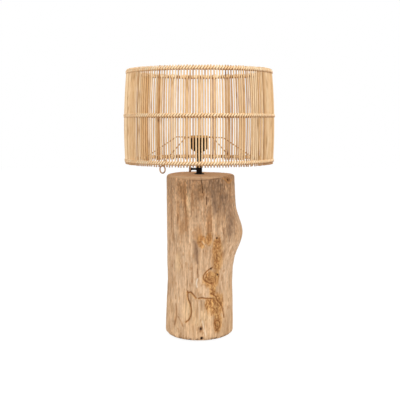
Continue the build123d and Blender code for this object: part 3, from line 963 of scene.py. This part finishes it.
def paint_galleries(skin):
    """Ochre stretches gnawed by beetles, sunk and full of short tracks."""
    gnawed = skin.patches(GALLERIES) + 0.25 * skin.mottle + 0.15 * skin.fibre
    gnawed = smoothstep(0.3, 0.7, gnawed)
    chewed = skin.pattern(CHEWING)
    veins = bell(skin.pattern(VEINS), 0, VEIN_WIDTH)
    skin.tint(gnawed, WOOD_OCHRE, strength=0.78)
    skin.tint(gnawed * smoothstep(0.05, 0.5, chewed), WOOD_TRACK, strength=0.55)
    skin.tint(gnawed * smoothstep(-0.15, -0.6, chewed), WOOD_RIDGE, strength=0.6)
    skin.tint(gnawed * veins, WOOD_TRACK, strength=0.75)
    skin.relief -= gnawed * (GALLERY_DEPTH + CHEWING_DEPTH * chewed + VEIN_DEPTH * veins)
    carved = 0.0
    for line in gallery_tracks():
        skin.ridge(line, GALLERY_RIDGE, strength=0.4, within=gnawed)
        track = gnawed * skin.stroke(line, GALLERY_TRACK_WIDTH)
        skin.tint(track, WOOD_TRACK, strength=0.65)
        carved = np.maximum(carved, track)
    skin.relief -= GALLERY_TRACK_DEPTH * carved


def paint_lines(skin):
    """Streaks broken up by the fibre, long beetle tracks, drying cracks and holes."""
    broken = np.clip(0.92 + 0.9 * skin.fibre, 0.25, 1.0)
    for points, width, strength in BROWN_STREAKS:
        skin.groove(points, width, BROWN_STREAK_DEPTH, WOOD_STREAK, strength * broken)
    for points, width, strength in GREY_STREAKS:
        skin.groove(points, width, GREY_STREAK_DEPTH, WOOD_SHADE, strength * broken)
    for points, strength in PALE_STREAKS:
        skin.tint(skin.stroke(points, PALE_STREAK_WIDTH), WOOD_CREAM, strength)
    for points in BEETLE_TRACKS:
        skin.ridge(points, TRACK_RIDGE, strength=0.5)
        skin.groove(points, TRACK_WIDTH, TRACK_DEPTH, WOOD_TRACK, strength=0.95)
    for points, width in CRACKS:
        skin.groove(points, width, CRACK_DEPTH, WOOD_CRACK, strength=0.95)
    # Holes are painted near-black: painted shade inside them
    for turn, height, width, depth in HOLES:
        ends = ((turn, height - HOLE_LENGTH / 2), (turn, height + HOLE_LENGTH / 2))
        skin.groove(ends, width, depth, WOOD_HOLE, strength=1.0)


def paint_grit(skin):
    """Blots on the weathered wood, grit that grows towards the top, flecks and a fine weave."""
    blots = skin.weathered * smoothstep(0.2, 0.6, skin.pattern(BLOTS))
    skin.tint(blots, WOOD_SHADE, strength=0.4)
    skin.colour *= (1 + (0.04 + 0.18 * skin.level ** 3) * skin.pattern(GRIT))[..., None]
    skin.tint(smoothstep(0.4, 0.75, skin.pattern(FLECKS)), WOOD_STREAK, strength=0.4)
    weave = 0.085 * skin.pattern(WEAVE, skin.sway) + 0.05 * skin.fine
    skin.colour *= (1 + skin.calm * weave)[..., None]


def paint_knot(skin):
    """A knot near the top, with a raised rim and a dark eye."""
    skin.tint(smoothstep(0.3, 0.8, skin.patch(*KNOT) + 0.2 * skin.mottle), WOOD_TRACK, strength=0.6)
    rim = skin.stroke(KNOT_RIM, KNOT_RIM_WIDTH)
    skin.tint(rim, WOOD_KNOT, strength=0.8)
    skin.relief += KNOT_RIM_RISE * rim
    skin.groove(KNOT_EYE, KNOT_EYE_WIDTH, KNOT_EYE_DEPTH, WOOD_HOLE, strength=0.9)


def paint_cut_edge(skin):
    """The sawn bevel under the top's edge, with a dark line below it and a painted highlight along the
    arris above.
    """
    edge = np.interp(skin.turn, *zip(*CUT_EDGE))[None, :]
    height = skin.height[:, None]
    front, middle = (smoothstep(*start, skin.turn) * smoothstep(*end, skin.turn)
                     for start, end in (CUT_FRONT, CUT_LINE_FRONT))
    drop, width = CUT_EDGE_LINE
    skin.tint(bell(height, edge - drop, width) * middle, WOOD_SHADE, strength=0.6)
    cut = smoothstep(-0.6, 0.6, height - edge + 0.5 * skin.mottle)
    skin.tint(cut, WOOD_BEVEL, strength=0.5 + 0.45 * front)
    # Painted highlight along the arris at the front
    drop, width = ARRIS_HIGHLIGHT
    skin.tint(bell(height, LOG_HEIGHT - drop, width) * front, WOOD_CREAM, strength=0.3)


def paint_foot(skin):
    """Dark specks of wear at the foot."""
    low = smoothstep(FOOT_SPECK_TOP, FOOT_SPECK_FULL, skin.height)[:, None]
    specks = smoothstep(0.25, 0.5, skin.pattern(FOOT_SPECKS)) * low
    skin.tint(specks, WOOD_HOLE, strength=0.6)
    skin.relief -= SPECK_DEPTH * specks


def paint_top(x, y):
    """Colour of the sawn end grain and how far it sinks: growth rings, saw marks and drying cracks."""
    wander = layered(x / TOP_WANDER, y / TOP_WANDER, 0.0, layers=3, seed=71)
    sawn = layered(x / SAW_MARK_LENGTH, y / SAW_MARK_WIDTH, 5.0, layers=2, seed=83)
    blotch = layered(x / TOP_BLOTCH, y / TOP_BLOTCH, 9.0, layers=3, seed=97)
    out = np.hypot(x - PITH[0], y - PITH[1])
    rings = 0.5 + 0.5 * np.sin(2 * math.pi * (out + RING_WANDER * wander) / RING_SPACING)
    dark = np.clip(0.35 * rings + 0.25 * sawn + 0.3 * blotch, 0, 1)[..., None]
    pale = np.clip(0.4 * blotch - 0.2 * sawn, 0, 1)[..., None]
    colour = blend(blend(END_MID, END_DARK, dark), END_PALE, pale)
    sink = RING_DEPTH * rings + SAW_MARK_DEPTH * np.abs(sawn)
    for turn, start, end in TOP_CRACKS:
        angle = math.radians(turn)
        along = x * math.cos(angle) + y * math.sin(angle)
        aside = y * math.cos(angle) - x * math.sin(angle) + TOP_CRACK_WANDER * wander
        share = bell(aside, 0, TOP_CRACK_WIDTH)
        share = share * smoothstep(start, start + TOP_CRACK_TAPER, along)
        share = share * smoothstep(end + TOP_CRACK_TAPER, end, along)
        colour = blend(colour, WOOD_CRACK, 0.85 * share[..., None])
        sink = sink + TOP_CRACK_DEPTH * share
    return colour, sink


def build_log():
    """The log's side, rounded ends, top and bore as one grid of rows and turns."""
    turn = np.linspace(-180, 180, LOG_COLUMNS, endpoint=False)
    angle = np.radians(turn)[None, :]
    quarter = np.linspace(0, math.pi / 2, LOG_EDGE_ROWS)
    straight = np.arange(LOG_FOOT_ROUND + LOG_ROW_STEP, LOG_HEIGHT - LOG_TOP_ROUND, LOG_ROW_STEP)
    # A row is an inset from the side, a height, and a share of the way from the bore to the edge
    foot = [(LOG_FOOT_ROUND * (1 - math.sin(a)), LOG_FOOT_ROUND * (1 - math.cos(a)), 1.0) for a in quarter]
    side = [(0.0, level, 1.0) for level in straight]
    rim = [(LOG_TOP_ROUND * (1 - math.cos(a)), LOG_HEIGHT - LOG_TOP_ROUND * (1 - math.sin(a)), 1.0)
           for a in quarter]
    top = [(LOG_TOP_ROUND, LOG_HEIGHT, share) for share in np.linspace(1, 0, LOG_TOP_ROWS)[1:]]
    bore = [(LOG_TOP_ROUND, LOG_HEIGHT - depth, 0.0) for depth in BORE_DEPTHS]
    rows = foot + side + rim + top + bore
    inset, height, share = (np.array(column) for column in zip(*rows))
    share = share[:, None]

    lean, radius = log_trunk(height[:, None], turn[None, :])
    skin = LogSkin(turn, height, lean + radius * np.cos(angle), radius * np.sin(angle))
    for paint in (paint_grain, paint_patches, paint_galleries, paint_lines, paint_grit, paint_knot,
                  paint_cut_edge, paint_foot):
        paint(skin)

    fade = smoothstep(LOG_HEIGHT, LOG_HEIGHT - RIM_CALM, height)[:, None] * share
    radius = radius - inset[:, None] + skin.relief * fade
    radius = TOP_HOLE_RADIUS + (radius - TOP_HOLE_RADIUS) * share
    x = lean * share + radius * np.cos(angle)
    y = radius * np.sin(angle)
    z = LOG_FOOT + height[:, None] + 0 * x

    sawn = slice(len(foot + side + rim) - LOG_RIM_ROWS_SAWN, len(rows) - len(bore))
    skin.colour[sawn], sink = paint_top(x[sawn], y[sawn])
    # The bore's walls are painted near-black: painted shade inside it
    skin.colour[-len(bore):] = WOOD_HOLE
    z[sawn] -= sink * smoothstep(0, TOP_CALM, radius[sawn] - FLANGE_RADIUS)
    rise = TOP_BACK_RISE * smoothstep(*TOP_RISE_BACK, y) * smoothstep(*TOP_RISE_LEFT, x)
    z += rise * smoothstep(*(LOG_HEIGHT - depth for depth in TOP_RISE_DEPTHS), height)[:, None]

    outlet = np.hypot(x, z - OUTLET_LEVEL)
    seat = (y > 0) & (outlet < GROMMET_RIM_RADIUS + OUTLET_MARGIN)
    channel = (y > 0) & (outlet < GROMMET_RIM_RADIUS - OUTLET_WALL)
    y = np.where(seat, np.minimum(y, GROMMET_SEAT), y)
    y = np.where(channel, GROMMET_SEAT - OUTLET_DEPTH, y)

    verts = np.stack([x, y, z], axis=-1).reshape(-1, 3)
    faces = grid_faces(len(rows), LOG_COLUMNS)
    faces.append(tuple(reversed(range(LOG_COLUMNS))))
    faces.append(tuple(range(len(verts) - LOG_COLUMNS, len(verts))))
    make_piece("log", verts, faces, LOG_WOOD, "base", "log_base", skin.colour.reshape(-1, 3))


# Shade


def cane_colour(number, own, level, tail, dice):
    """A cane's colour along its length: own tint, mottle, stains, dark marks, and painted shade on its
    foot below the bottom hoop.
    """
    group = noise(number / CANE_GROUP, 0.5, 0.5, seed=41)
    tint = CANE_TINT + CANE_TINT_SPREAD * dice.normal() + CANE_GROUP_SPREAD * group
    colour = np.tile(blend(CANE_GOLD, CANE_PALE, np.clip(tint, 0, 1)), (len(level), 1))
    if dice.random() < CANE_BROWN_SHARE:
        colour = blend(colour, CANE_STAIN, 0.5)
    mottle = layered(level / CANE_MOTTLE_LENGTH, own, 0.5, layers=3, seed=21)
    colour = colour + mottle[:, None] * np.array(CANE_MOTTLE)
    for _ in range(dice.poisson(CANE_STAINS)):
        stain = bell(level, dice.uniform(CANE_FOOT, CANE_TIP), dice.uniform(*CANE_STAIN_REACH))
        colour = blend(colour, CANE_STAIN, 0.5 * stain[:, None])
    for turn, mark_level, half_height in CANE_MARKS:
        if number == round((turn - FIRST_CANE_TURN) % 360 * CANE_COUNT / 360):
            colour = blend(colour, CANE_MARK, 0.85 * bell(level, mark_level, half_height)[:, None])
    # Painted shade on the foot, under the bottom hoop's winding
    return blend(colour, CANE_TAIL_SHADE, 0.8 * tail[:, None])


def build_canes():
    """Round canes, each a little crooked, with its own girth and colour."""
    dice = np.random.default_rng(CANE_SEED)
    parts, paint = [], []
    for number in range(CANE_COUNT):
        own = CANE_NOISE_STEP * number
        foot = CANE_FOOT + dice.uniform(*CANE_FOOT_TRIM)
        tip = CANE_TIP - dice.uniform(*CANE_TIP_TRIM)
        level = np.linspace(foot, tip, CANE_ROWS)
        tail = smoothstep(LEVELS[0], CANE_FOOT, level)
        drift = CANE_BEND * noise(level / CANE_BEND_LENGTH, own, 0.5, seed=5)
        drift = drift + np.clip(dice.normal(0, CANE_SHIFT), -CANE_SHIFT_LIMIT, CANE_SHIFT_LIMIT)
        drift = drift + dice.normal(0, CANE_SPLAY) * tail
        size = CANE_RADIUS * dice.uniform(*CANE_GIRTHS)
        size = size * (1 + CANE_GIRTH_CHANGE * noise(level / CANE_GIRTH_LENGTH, own, 0.5, seed=9))
        out = np.polyval(CANE_CURVE, level)
        turn = FIRST_TURN + number * PITCH + drift / out
        path = around(out, turn, level)
        verts, faces = swept(path, circle(1.0, CANE_SIDES), around(1.0, turn, 0.0))
        middle = np.repeat(path, CANE_SIDES, axis=0)
        parts.append((middle + (verts - middle) * np.repeat(size, CANE_SIDES)[:, None], faces))
        paint.append(np.repeat(cane_colour(number, own, level, tail, dice), CANE_SIDES, axis=0))
    verts, faces = joined(parts)
    make_piece("canes", verts, faces, CANE, "shade", "shade_canes", np.concatenate(paint))


def build_lashing(hoop, level, radius):
    """One split-cane strip wound over each cane and back under the wire ring."""
    dice = np.random.default_rng(WINDING_SEED + len(hoop))
    share = (np.arange(STRIP_STEPS) + 0.5) / STRIP_STEPS
    over = smoothstep(*WINDING_CROSSING, share)
    swell = np.sin(math.pi * share) ** WINDING_SWELL
    slope = np.cos(math.pi * share)
    up = np.concatenate([-slope, slope])
    # Painted shade: each wrap fades to STRIP_SHADE towards its lower side
    lit = smoothstep(*STRIP_LIT, up)[:, None]
    outside = CANE_RADIUS + STRIP_THICKNESS / 2 + STRIP_GAP
    inside = outside + 2 * RING_RADIUS
    path, outward, colour = [], [], []
    for number in range(CANE_COUNT):
        start = FIRST_TURN + (number - 0.5) * PITCH
        rise = WINDING_RISE * dice.uniform(*WINDING_RISES)
        lift = dice.normal(0, WINDING_LIFT)
        turn = np.concatenate([start + PITCH * over, np.full(STRIP_STEPS, start + PITCH)])
        reach = np.concatenate([(outside + lift) * swell, -inside * swell])
        path.append(around(radius + reach, turn, level + rise * up))
        outward.append(around(np.concatenate([swell, -swell]), turn, up))
        tint = np.clip(0.5 + STRIP_TINT_SPREAD * dice.normal(), 0, 1)
        colour.append(blend(STRIP_SHADE, blend(STRIP_GOLD, STRIP_PALE, tint), lit))
    section = circle(1.0, STRIP_SIDES)
    flat = section * np.array((STRIP_WIDTH / 2, STRIP_THICKNESS / 2))
    verts, faces = swept(np.concatenate(path), flat, np.concatenate(outward), closed=True)
    # Painted shade along each wrap's edges, where neighbouring wraps meet
    edge_shade_share = STRIP_EDGE_SHADE * np.abs(section[:, :1]) ** STRIP_EDGE_POWER
    paint = blend(np.concatenate(colour)[:, None, :], STRIP_EDGE, edge_shade_share).reshape(-1, 3)
    make_piece(f"{hoop}_winding", verts, faces, SPLIT_CANE, "shade", f"{hoop}_lashing", paint)


def build_ring(hoop, level, radius):
    turn = np.linspace(0, 2 * math.pi, RING_STEPS, endpoint=False)
    path = around(radius - RING_INSET, turn, level)
    verts, faces = swept(path, circle(RING_RADIUS, RING_SIDES), around(1.0, turn, 0.0), closed=True)
    # The rings take the darker wire: painted shade under the winding
    make_piece(f"{hoop}_wire", verts, faces, SHADED_WIRE, "shade", f"{hoop}_wire_ring")


def build_arms():
    """Four wires from the flat ring on the lampholder down to the bottom ring."""
    start = high_mm("gimbal_ring", X) - ARM_OVERLAP
    arm_level = sum(levels_mm("gimbal_ring")) / 2
    ring = RADII[0] - RING_INSET
    run, drop = ring - ARM_BEND_AT, arm_level - LEVELS[0]
    clear = RING_RADIUS + ARM_RADIUS
    slope = math.atan2(drop, run) - math.asin(clear / math.hypot(run, drop))
    sweep = np.linspace(0, slope, BEND_STEPS)
    bend = ARM_BEND_AT + ARM_BEND_RADIUS * (np.sin(sweep) - math.tan(slope / 2))
    fall = arm_level - ARM_BEND_RADIUS * (1 - np.cos(sweep))
    out = np.array([start, *bend, ring + clear * math.sin(slope)])
    level = np.array([arm_level, *fall, LEVELS[0] + clear * math.cos(slope)])
    for number, degrees in enumerate(ARM_TURNS, 1):
        turn = math.radians(degrees)
        aside = np.tile((-math.sin(turn), math.cos(turn), 0.0), (len(out), 1))
        verts, faces = swept(around(out, turn, level), circle(ARM_RADIUS, WIRE_SIDES), aside)
        make_piece(f"arm_{number}", verts, faces, WIRE_STEEL, "shade", f"spider_arm_{number}")


def build_loop():
    """An oval cane loop on a short neck that hangs from the bottom ring."""
    turn = math.radians(LOOP_TURN)
    outward = np.array((math.cos(turn), math.sin(turn), 0.0))
    aside = np.array((-math.sin(turn), math.cos(turn), 0.0))
    upward = np.array((0.0, 0.0, 1.0))
    centre = outward * (RADII[0] - RING_INSET) + upward * (LEVELS[0] - LOOP_DROP)
    section = circle(LOOP_CANE_RADIUS, WIRE_SIDES)
    sweep = np.linspace(0, 2 * math.pi, LOOP_STEPS, endpoint=False)[:, None]
    oval = LOOP_WIDTH / 2 * np.cos(sweep) * aside + LOOP_HEIGHT / 2 * np.sin(sweep) * upward
    rise = np.linspace(LOOP_HEIGHT / 2, LOOP_DROP - RING_RADIUS, LOOP_NECK_STEPS)[:, None]
    hoop = swept(centre + oval, section, np.tile(outward, (LOOP_STEPS, 1)), closed=True)
    neck = swept(centre + rise * upward, section, np.tile(outward, (LOOP_NECK_STEPS, 1)))
    verts, faces = joined([hoop, neck])
    x, y, z = verts.T / LOOP_SPOT
    dark = smoothstep(0.1, 0.5, layered(x, y, z, layers=2, seed=61))[:, None]
    make_piece("loop", verts, faces, LOOP_CANE, "shade", "cane_loop", blend(LOOP_COLOUR, LOOP_DARK, dark))


# Metal and fittings


def eased(outline, radius):
    """A closed outline with each corner cut back and rounded."""
    corners = np.asarray(outline, dtype=float)
    result = []
    for before, corner, after in zip(np.roll(corners, 1, axis=0), corners, np.roll(corners, -1, axis=0)):
        back = before - corner
        ahead = after - corner
        start = corner + back * min(radius / np.linalg.norm(back), 0.4)
        end = corner + ahead * min(radius / np.linalg.norm(ahead), 0.4)
        result += [start, (start + 2 * corner + end) / 4, end]
    return result


def turned(name, outline, finish, body, node, shape=None, place=None, segments=TURNED_SEGMENTS):
    """A closed outline of (radius, level) points turned about an axis.

    shape may change a radius by its turn and level, and place puts (aside, ahead, level) in the frame.
    """
    outline = np.asarray(outline, dtype=float)
    turn = np.arange(segments) * 2 * math.pi / segments
    radius = outline[:, :1] + 0 * turn
    level = outline[:, 1:] + 0 * turn
    if shape is not None:
        radius = shape(radius, turn[None, :], level)
    aside, ahead = radius * np.cos(turn), radius * np.sin(turn)
    x, y, z = (aside, ahead, level) if place is None else place(aside, ahead, level)
    verts = np.stack([x, y, z], axis=-1).reshape(-1, 3)
    faces = grid_faces(len(outline), segments, close_rows=True)
    make_piece(name, verts, faces, finish, body, node, crease=CREASE)


def build_tube(name, inner, outer, edge, finish, body, node, **more):
    """A turned tube or ring as high as its node."""
    low, high = levels_mm(node)
    outline = eased([(inner, low), (outer, low), (outer, high), (inner, high)], edge)
    turned(name, outline, finish, body, node, **more)


def build_felt():
    low, high = low_mm("base_felt", X), high_mm("base_felt", X)
    middle, radius = (low + high) / 2, (high - low) / 2
    build_tube("felt_pad", FELT_EYE, radius, SOFT_EDGE, FELT, "base", "base_felt",
               place=lambda aside, ahead, level: (aside + middle, ahead, level))


def build_grommet():
    inner, outer = low_mm("cord_grommet", Y), high_mm("cord_grommet", Y)
    side, rim = GROMMET_BORE + GROMMET_WALL, GROMMET_RIM_RADIUS
    outline = [
        (GROMMET_BORE, inner), (side, inner), (side, GROMMET_SEAT), (rim, GROMMET_SEAT),
        (rim, outer - GROMMET_RIM_BEVEL), (rim - GROMMET_RIM_BEVEL, outer),
        (GROMMET_BORE + GROMMET_MOUTH_BEVEL, outer), (GROMMET_BORE, outer - GROMMET_MOUTH_BEVEL),
    ]
    turned("grommet", eased(outline, SHARP_EDGE), BLACK_PLASTIC, "base", "cord_grommet",
           place=lambda aside, ahead, along: (aside, along, ahead + OUTLET_LEVEL))


def build_flange():
    low, high = levels_mm("base_flange")
    outline = [
        (SLEEVE_RADIUS + FLANGE_GAP, low), (FLANGE_RADIUS, low), (FLANGE_RADIUS, low + FLANGE_EDGE),
        (FLANGE_RADIUS - FLANGE_BEVEL, high - FLANGE_FALL), (SLEEVE_RADIUS + FLANGE_FLAT, high),
        (SLEEVE_RADIUS + FLANGE_GAP, high),
    ]
    turned("flange", eased(outline, PLAIN_EDGE), DARK_METAL, "base", "base_flange")


def build_nut():
    low, high = levels_mm("lock_nut")
    half = high_mm("lock_nut", Y)
    corner = half / math.cos(math.pi / 6)
    bore = STEM_RADIUS + SEAT_CLEARANCE

    def hexagon(value, turn, level):
        flat = half / np.cos((turn + math.pi / 6) % (math.pi / 3) - math.pi / 6)
        return np.where(value > half, np.minimum(flat, value), value)

    outline = [
        (bore, low), (corner - NUT_BEVEL, low), (corner, low + NUT_BEVEL_HEIGHT),
        (corner, high - NUT_BEVEL_HEIGHT), (corner - NUT_BEVEL, high), (bore, high),
    ]
    turned("nut", outline, DARK_METAL, "stem", "lock_nut", shape=hexagon)


def build_thumb_screw():
    """A notched bronze knob with a dished face, on a dark shaft with a boss."""
    tip, end = -high_mm("thumb_screw", X), -low_mm("thumb_screw", X)
    axis_level = sum(levels_mm("thumb_screw")) / 2
    seat = end - KNOB_THICKNESS

    def notched(value, turn, along):
        notch = KNOB_NOTCH_DEPTH / 2 * (1 + np.cos(NOTCHES * turn))
        return np.where(value > KNOB_RADIUS - KNOB_RIM / 2, value - notch, value)

    def sideways(aside, ahead, along):
        return -along, aside, ahead + axis_level

    knob = [
        (SCREW_EYE, seat), (KNOB_RADIUS, seat), (KNOB_RADIUS, end), (KNOB_RADIUS - KNOB_RIM, end),
        (KNOB_RADIUS - KNOB_RIM - KNOB_DISH_SLOPE, end - KNOB_DISH), (SCREW_EYE, end - KNOB_DISH),
    ]
    turned("thumb_screw_knob", eased(knob, PLAIN_EDGE), BRONZE, "thumb_screw", "thumb_screw",
           shape=notched, place=sideways, segments=KNOB_SEGMENTS)
    shaft = [
        (SCREW_EYE, tip), (SCREW_RADIUS, tip), (SCREW_RADIUS, seat - BOSS_LENGTH - BOSS_CONE),
        (BOSS_RADIUS, seat - BOSS_LENGTH), (BOSS_RADIUS, seat + BOSS_SINK),
        (SCREW_EYE, seat + BOSS_SINK),
    ]
    turned("thumb_screw_shaft", eased(shaft, PLAIN_EDGE), DARK_METAL, "thumb_screw", None,
           place=sideways, segments=SMALL_SEGMENTS)


def build_cap():
    """The lampholder's spun dome, thinner at its neck."""
    foot, top = levels_mm("holder_cap")
    bore, rim = STEM_RADIUS + SEAT_CLEARANCE, high_mm("holder_cap", X)
    sweep = np.linspace(0, math.pi / 2, DOME_STEPS)
    share = np.linspace(0, 1, DOME_STEPS)
    out = CAP_NECK_RADIUS + (rim - CAP_NECK_RADIUS) * np.sin(sweep) ** CAP_DOME_POWER
    up = foot + (top - foot) * (1 - np.cos(sweep))
    inner_out = out - CAP_WALL * (CAP_NECK_WALL_SHARE + (1 - CAP_NECK_WALL_SHARE) * share)
    inner_up = up + CAP_WALL * (1 - share)
    outline = [(bore, foot), *zip(out, up), *zip(inner_out[::-1], inner_up[::-1]), (bore, foot + CAP_WALL)]
    turned("cap", outline, DARK_METAL, "stem", "holder_cap")


def build_body():
    """The lampholder's body: a spigot in the cap, a bead, a band under the shoulder and a neck."""
    rim, cap_top = high_mm("holder_cap", X), high_mm("holder_cap", Z)
    band, neck_top = high_mm("holder_body", X), high_mm("holder_body", Z)
    shoulder = low_mm("gimbal_ring", Z)
    bore = high_mm("holder_insert", X) + SEAT_CLEARANCE
    spigot = rim - CAP_WALL - SEAT_CLEARANCE
    seam = cap_top + BODY_SEAM
    outline = [
        (bore - BODY_LEDGE, cap_top - SPIGOT_DEPTH), (spigot, cap_top - SPIGOT_DEPTH),
        (spigot, seam), (rim - BEAD_REACH, seam), (rim + BEAD_REACH, cap_top + BEAD_HEIGHT),
        (rim - BEAD_STEP, cap_top + BEAD_HEIGHT + BODY_BEVEL),
        (band - BAND_STEP, shoulder - BAND_HEIGHT - BODY_BEVEL), (band, shoulder - BAND_HEIGHT),
        (band, shoulder), (NECK_RADIUS, shoulder), (NECK_RADIUS, neck_top), (bore, neck_top),
        (bore, cap_top), (bore - BODY_LEDGE, cap_top),
    ]
    turned("holder", eased(outline, SHARP_EDGE), DARK_METAL, "stem", "holder_body")


def build_clamp_and_gimbal():
    """The notched ring that clamps the spider, and the spider's flat ring, both on the neck."""
    bore = NECK_RADIUS + RUNNING_CLEARANCE
    rim = high_mm("clamp_ring", Y)

    def notched(value, turn, level):
        notch = CLAMP_NOTCH_DEPTH * smoothstep(*CLAMP_NOTCH_SIDES, np.cos(NOTCHES * turn))
        return np.where(value > (bore + rim) / 2, value - notch, value)

    build_tube("clamp", bore, rim, CLAMP_EDGE, BRASS, "clamp", "clamp_ring",
               shape=notched, segments=CLAMP_SEGMENTS)
    build_tube("gimbal", bore, high_mm("gimbal_ring", X), SHARP_EDGE, WIRE_STEEL, "shade", "gimbal_ring")


def build_socket():
    """The insulating insert, the threaded brass shell in it, and the contacts below."""
    low, high = levels_mm("holder_insert")
    outer = high_mm("holder_insert", X)
    seat, shell_top = levels_mm("screw_shell")
    shell_radius, lip = SHELL_BORE + SHELL_WALL, SHELL_BORE - SHELL_LIP
    insert_bore, floor = shell_radius + SEAT_CLEARANCE, low + INSERT_FLOOR
    insert = [
        (INSERT_EYE, low), (outer, low), (outer, high), (insert_bore, high), (insert_bore, seat),
        (lip, seat), (lip, floor), (INSERT_EYE, floor),
    ]
    turned("insert", eased(insert, SHARP_EDGE), INSULATOR, "stem", "holder_insert")

    thread_foot = seat + SHELL_WALL
    levels = np.linspace(thread_foot, shell_top, THREAD_STEPS)
    crest = shell_radius - SEAT_CLEARANCE

    def threaded(value, turn, level):
        wave = (1 + np.sin(2 * math.pi * level / THREAD_PITCH - turn)) / 2
        groove = THREAD_DEPTH * wave * smoothstep(thread_foot, thread_foot + THREAD_RUN_IN, level)
        return np.where(value > SHELL_BORE - SHELL_WALL, value - groove, value)

    outside = [(crest, level) for level in levels]
    inside = [(SHELL_BORE, level) for level in reversed(levels)]
    shell = [(lip, seat), (shell_radius, seat), *outside, *inside, (lip, thread_foot)]
    turned("thread_shell", shell, BRASS, "stem", "screw_shell", shape=threaded)

    for node in ("centre_contact", "terminal_screws"):
        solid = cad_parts[node]
        solid.data.materials.clear()
        solid.data.materials.append(BRASS.material)
        edge = solid.modifiers.new("edges", "BEVEL")
        edge.width = CONTACT_EDGE * MM
        edge.segments = 2


# Stage, light and camera


def build_stage():
    """A pale floor that shows as white, apart from the object's shadow."""
    corners = [(x * FLOOR_REACH, y * FLOOR_REACH, 0) for x, y in ((-1, -1), (1, -1), (1, 1), (-1, 1))]
    mesh = bpy.data.meshes.new("floor")
    mesh.from_pydata(corners, [], [(0, 1, 2, 3)])
    floor = bpy.data.objects.new("floor", mesh)
    bpy.context.scene.collection.objects.link(floor)
    m = Material("floor")
    m.feed(m.shader, {"Base Color": FLOOR_COLOUR, "Roughness": 0.9})
    seen = m.any_ray("Is Camera Ray", "Is Glossy Ray")
    share = m.node("ShaderNodeMath", "Value", {0: seen, 1: FLOOR_GLOW_SHARE}, operation="MULTIPLY")
    glow = m.node("ShaderNodeEmission", "Emission", {"Strength": FLOOR_GLOW})
    m.surface(share, m.shader.outputs["BSDF"], glow, "Material Output")
    mesh.materials.append(m.material)
    floor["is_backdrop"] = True


def build_world():
    """Soft light from all round, seen as plain white."""
    world = bpy.data.worlds.new("studio")
    bpy.context.scene.world = world
    world.use_nodes = True
    nodes = Nodes(world.node_tree)
    soft = nodes.tree.nodes["Background"]
    nodes.feed(soft, {"Color": WHITE, "Strength": SOFT_LIGHT})
    plain = nodes.node("ShaderNodeBackground", "Background", {"Color": WHITE, "Strength": 1.0})
    seen = nodes.any_ray("Is Camera Ray", "Is Glossy Ray", "Is Transmission Ray")
    nodes.surface(seen, soft.outputs["Background"], plain, "World Output")


def add_light(name, place, power):
    light = bpy.data.lights.new(name, "AREA")
    light.shape = "DISK"
    light.size = LIGHT_SIZE
    light.energy = power
    lamp = bpy.data.objects.new(name, light)
    lamp.location = place
    ahead = np.array(LIGHT_AIM) - np.array(place)
    tilt = math.atan2(math.hypot(ahead[0], ahead[1]), -ahead[2])
    lamp.rotation_euler = (tilt, 0.0, math.atan2(-ahead[0], ahead[1]))
    bpy.context.scene.collection.objects.link(lamp)


def build_camera():
    data = bpy.data.cameras.new("camera")
    data.lens = CAMERA_LENS
    data.sensor_width = SENSOR_WIDTH
    camera = bpy.data.objects.new("camera", data)
    camera.location = CAMERA_PLACE
    camera.rotation_euler = (math.pi / 2 - CAMERA_PITCH, 0.0, 0.0)
    bpy.context.scene.collection.objects.link(camera)
    bpy.context.scene.camera = camera


build_log()
build_felt()
build_grommet()
build_tube("sleeve", SLEEVE_BORE, SLEEVE_RADIUS, SOFT_EDGE, DARK_METAL, "base", "stem_sleeve")
build_flange()
build_tube("stem", STEM_RADIUS - STEM_WALL, STEM_RADIUS, SHARP_EDGE, DARK_METAL, "stem", "stem_tube")
build_nut()
build_thumb_screw()
build_cap()
build_body()
build_clamp_and_gimbal()
build_socket()
build_canes()
for hoop, level, radius in zip(HOOPS, LEVELS, RADII):
    build_ring(hoop, level, radius)
    build_lashing(hoop, level, radius)
build_arms()
build_loop()
build_stage()
build_world()
for name, place, power in LIGHTS:
    add_light(name, place, power)
build_camera()
bpy.context.scene.view_settings.view_transform = "Standard"

boxes = {"cad": CAD_BOX, "visual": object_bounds()}
{name: [[float(value) for value in corner] for corner in box] for name, box in boxes.items()}
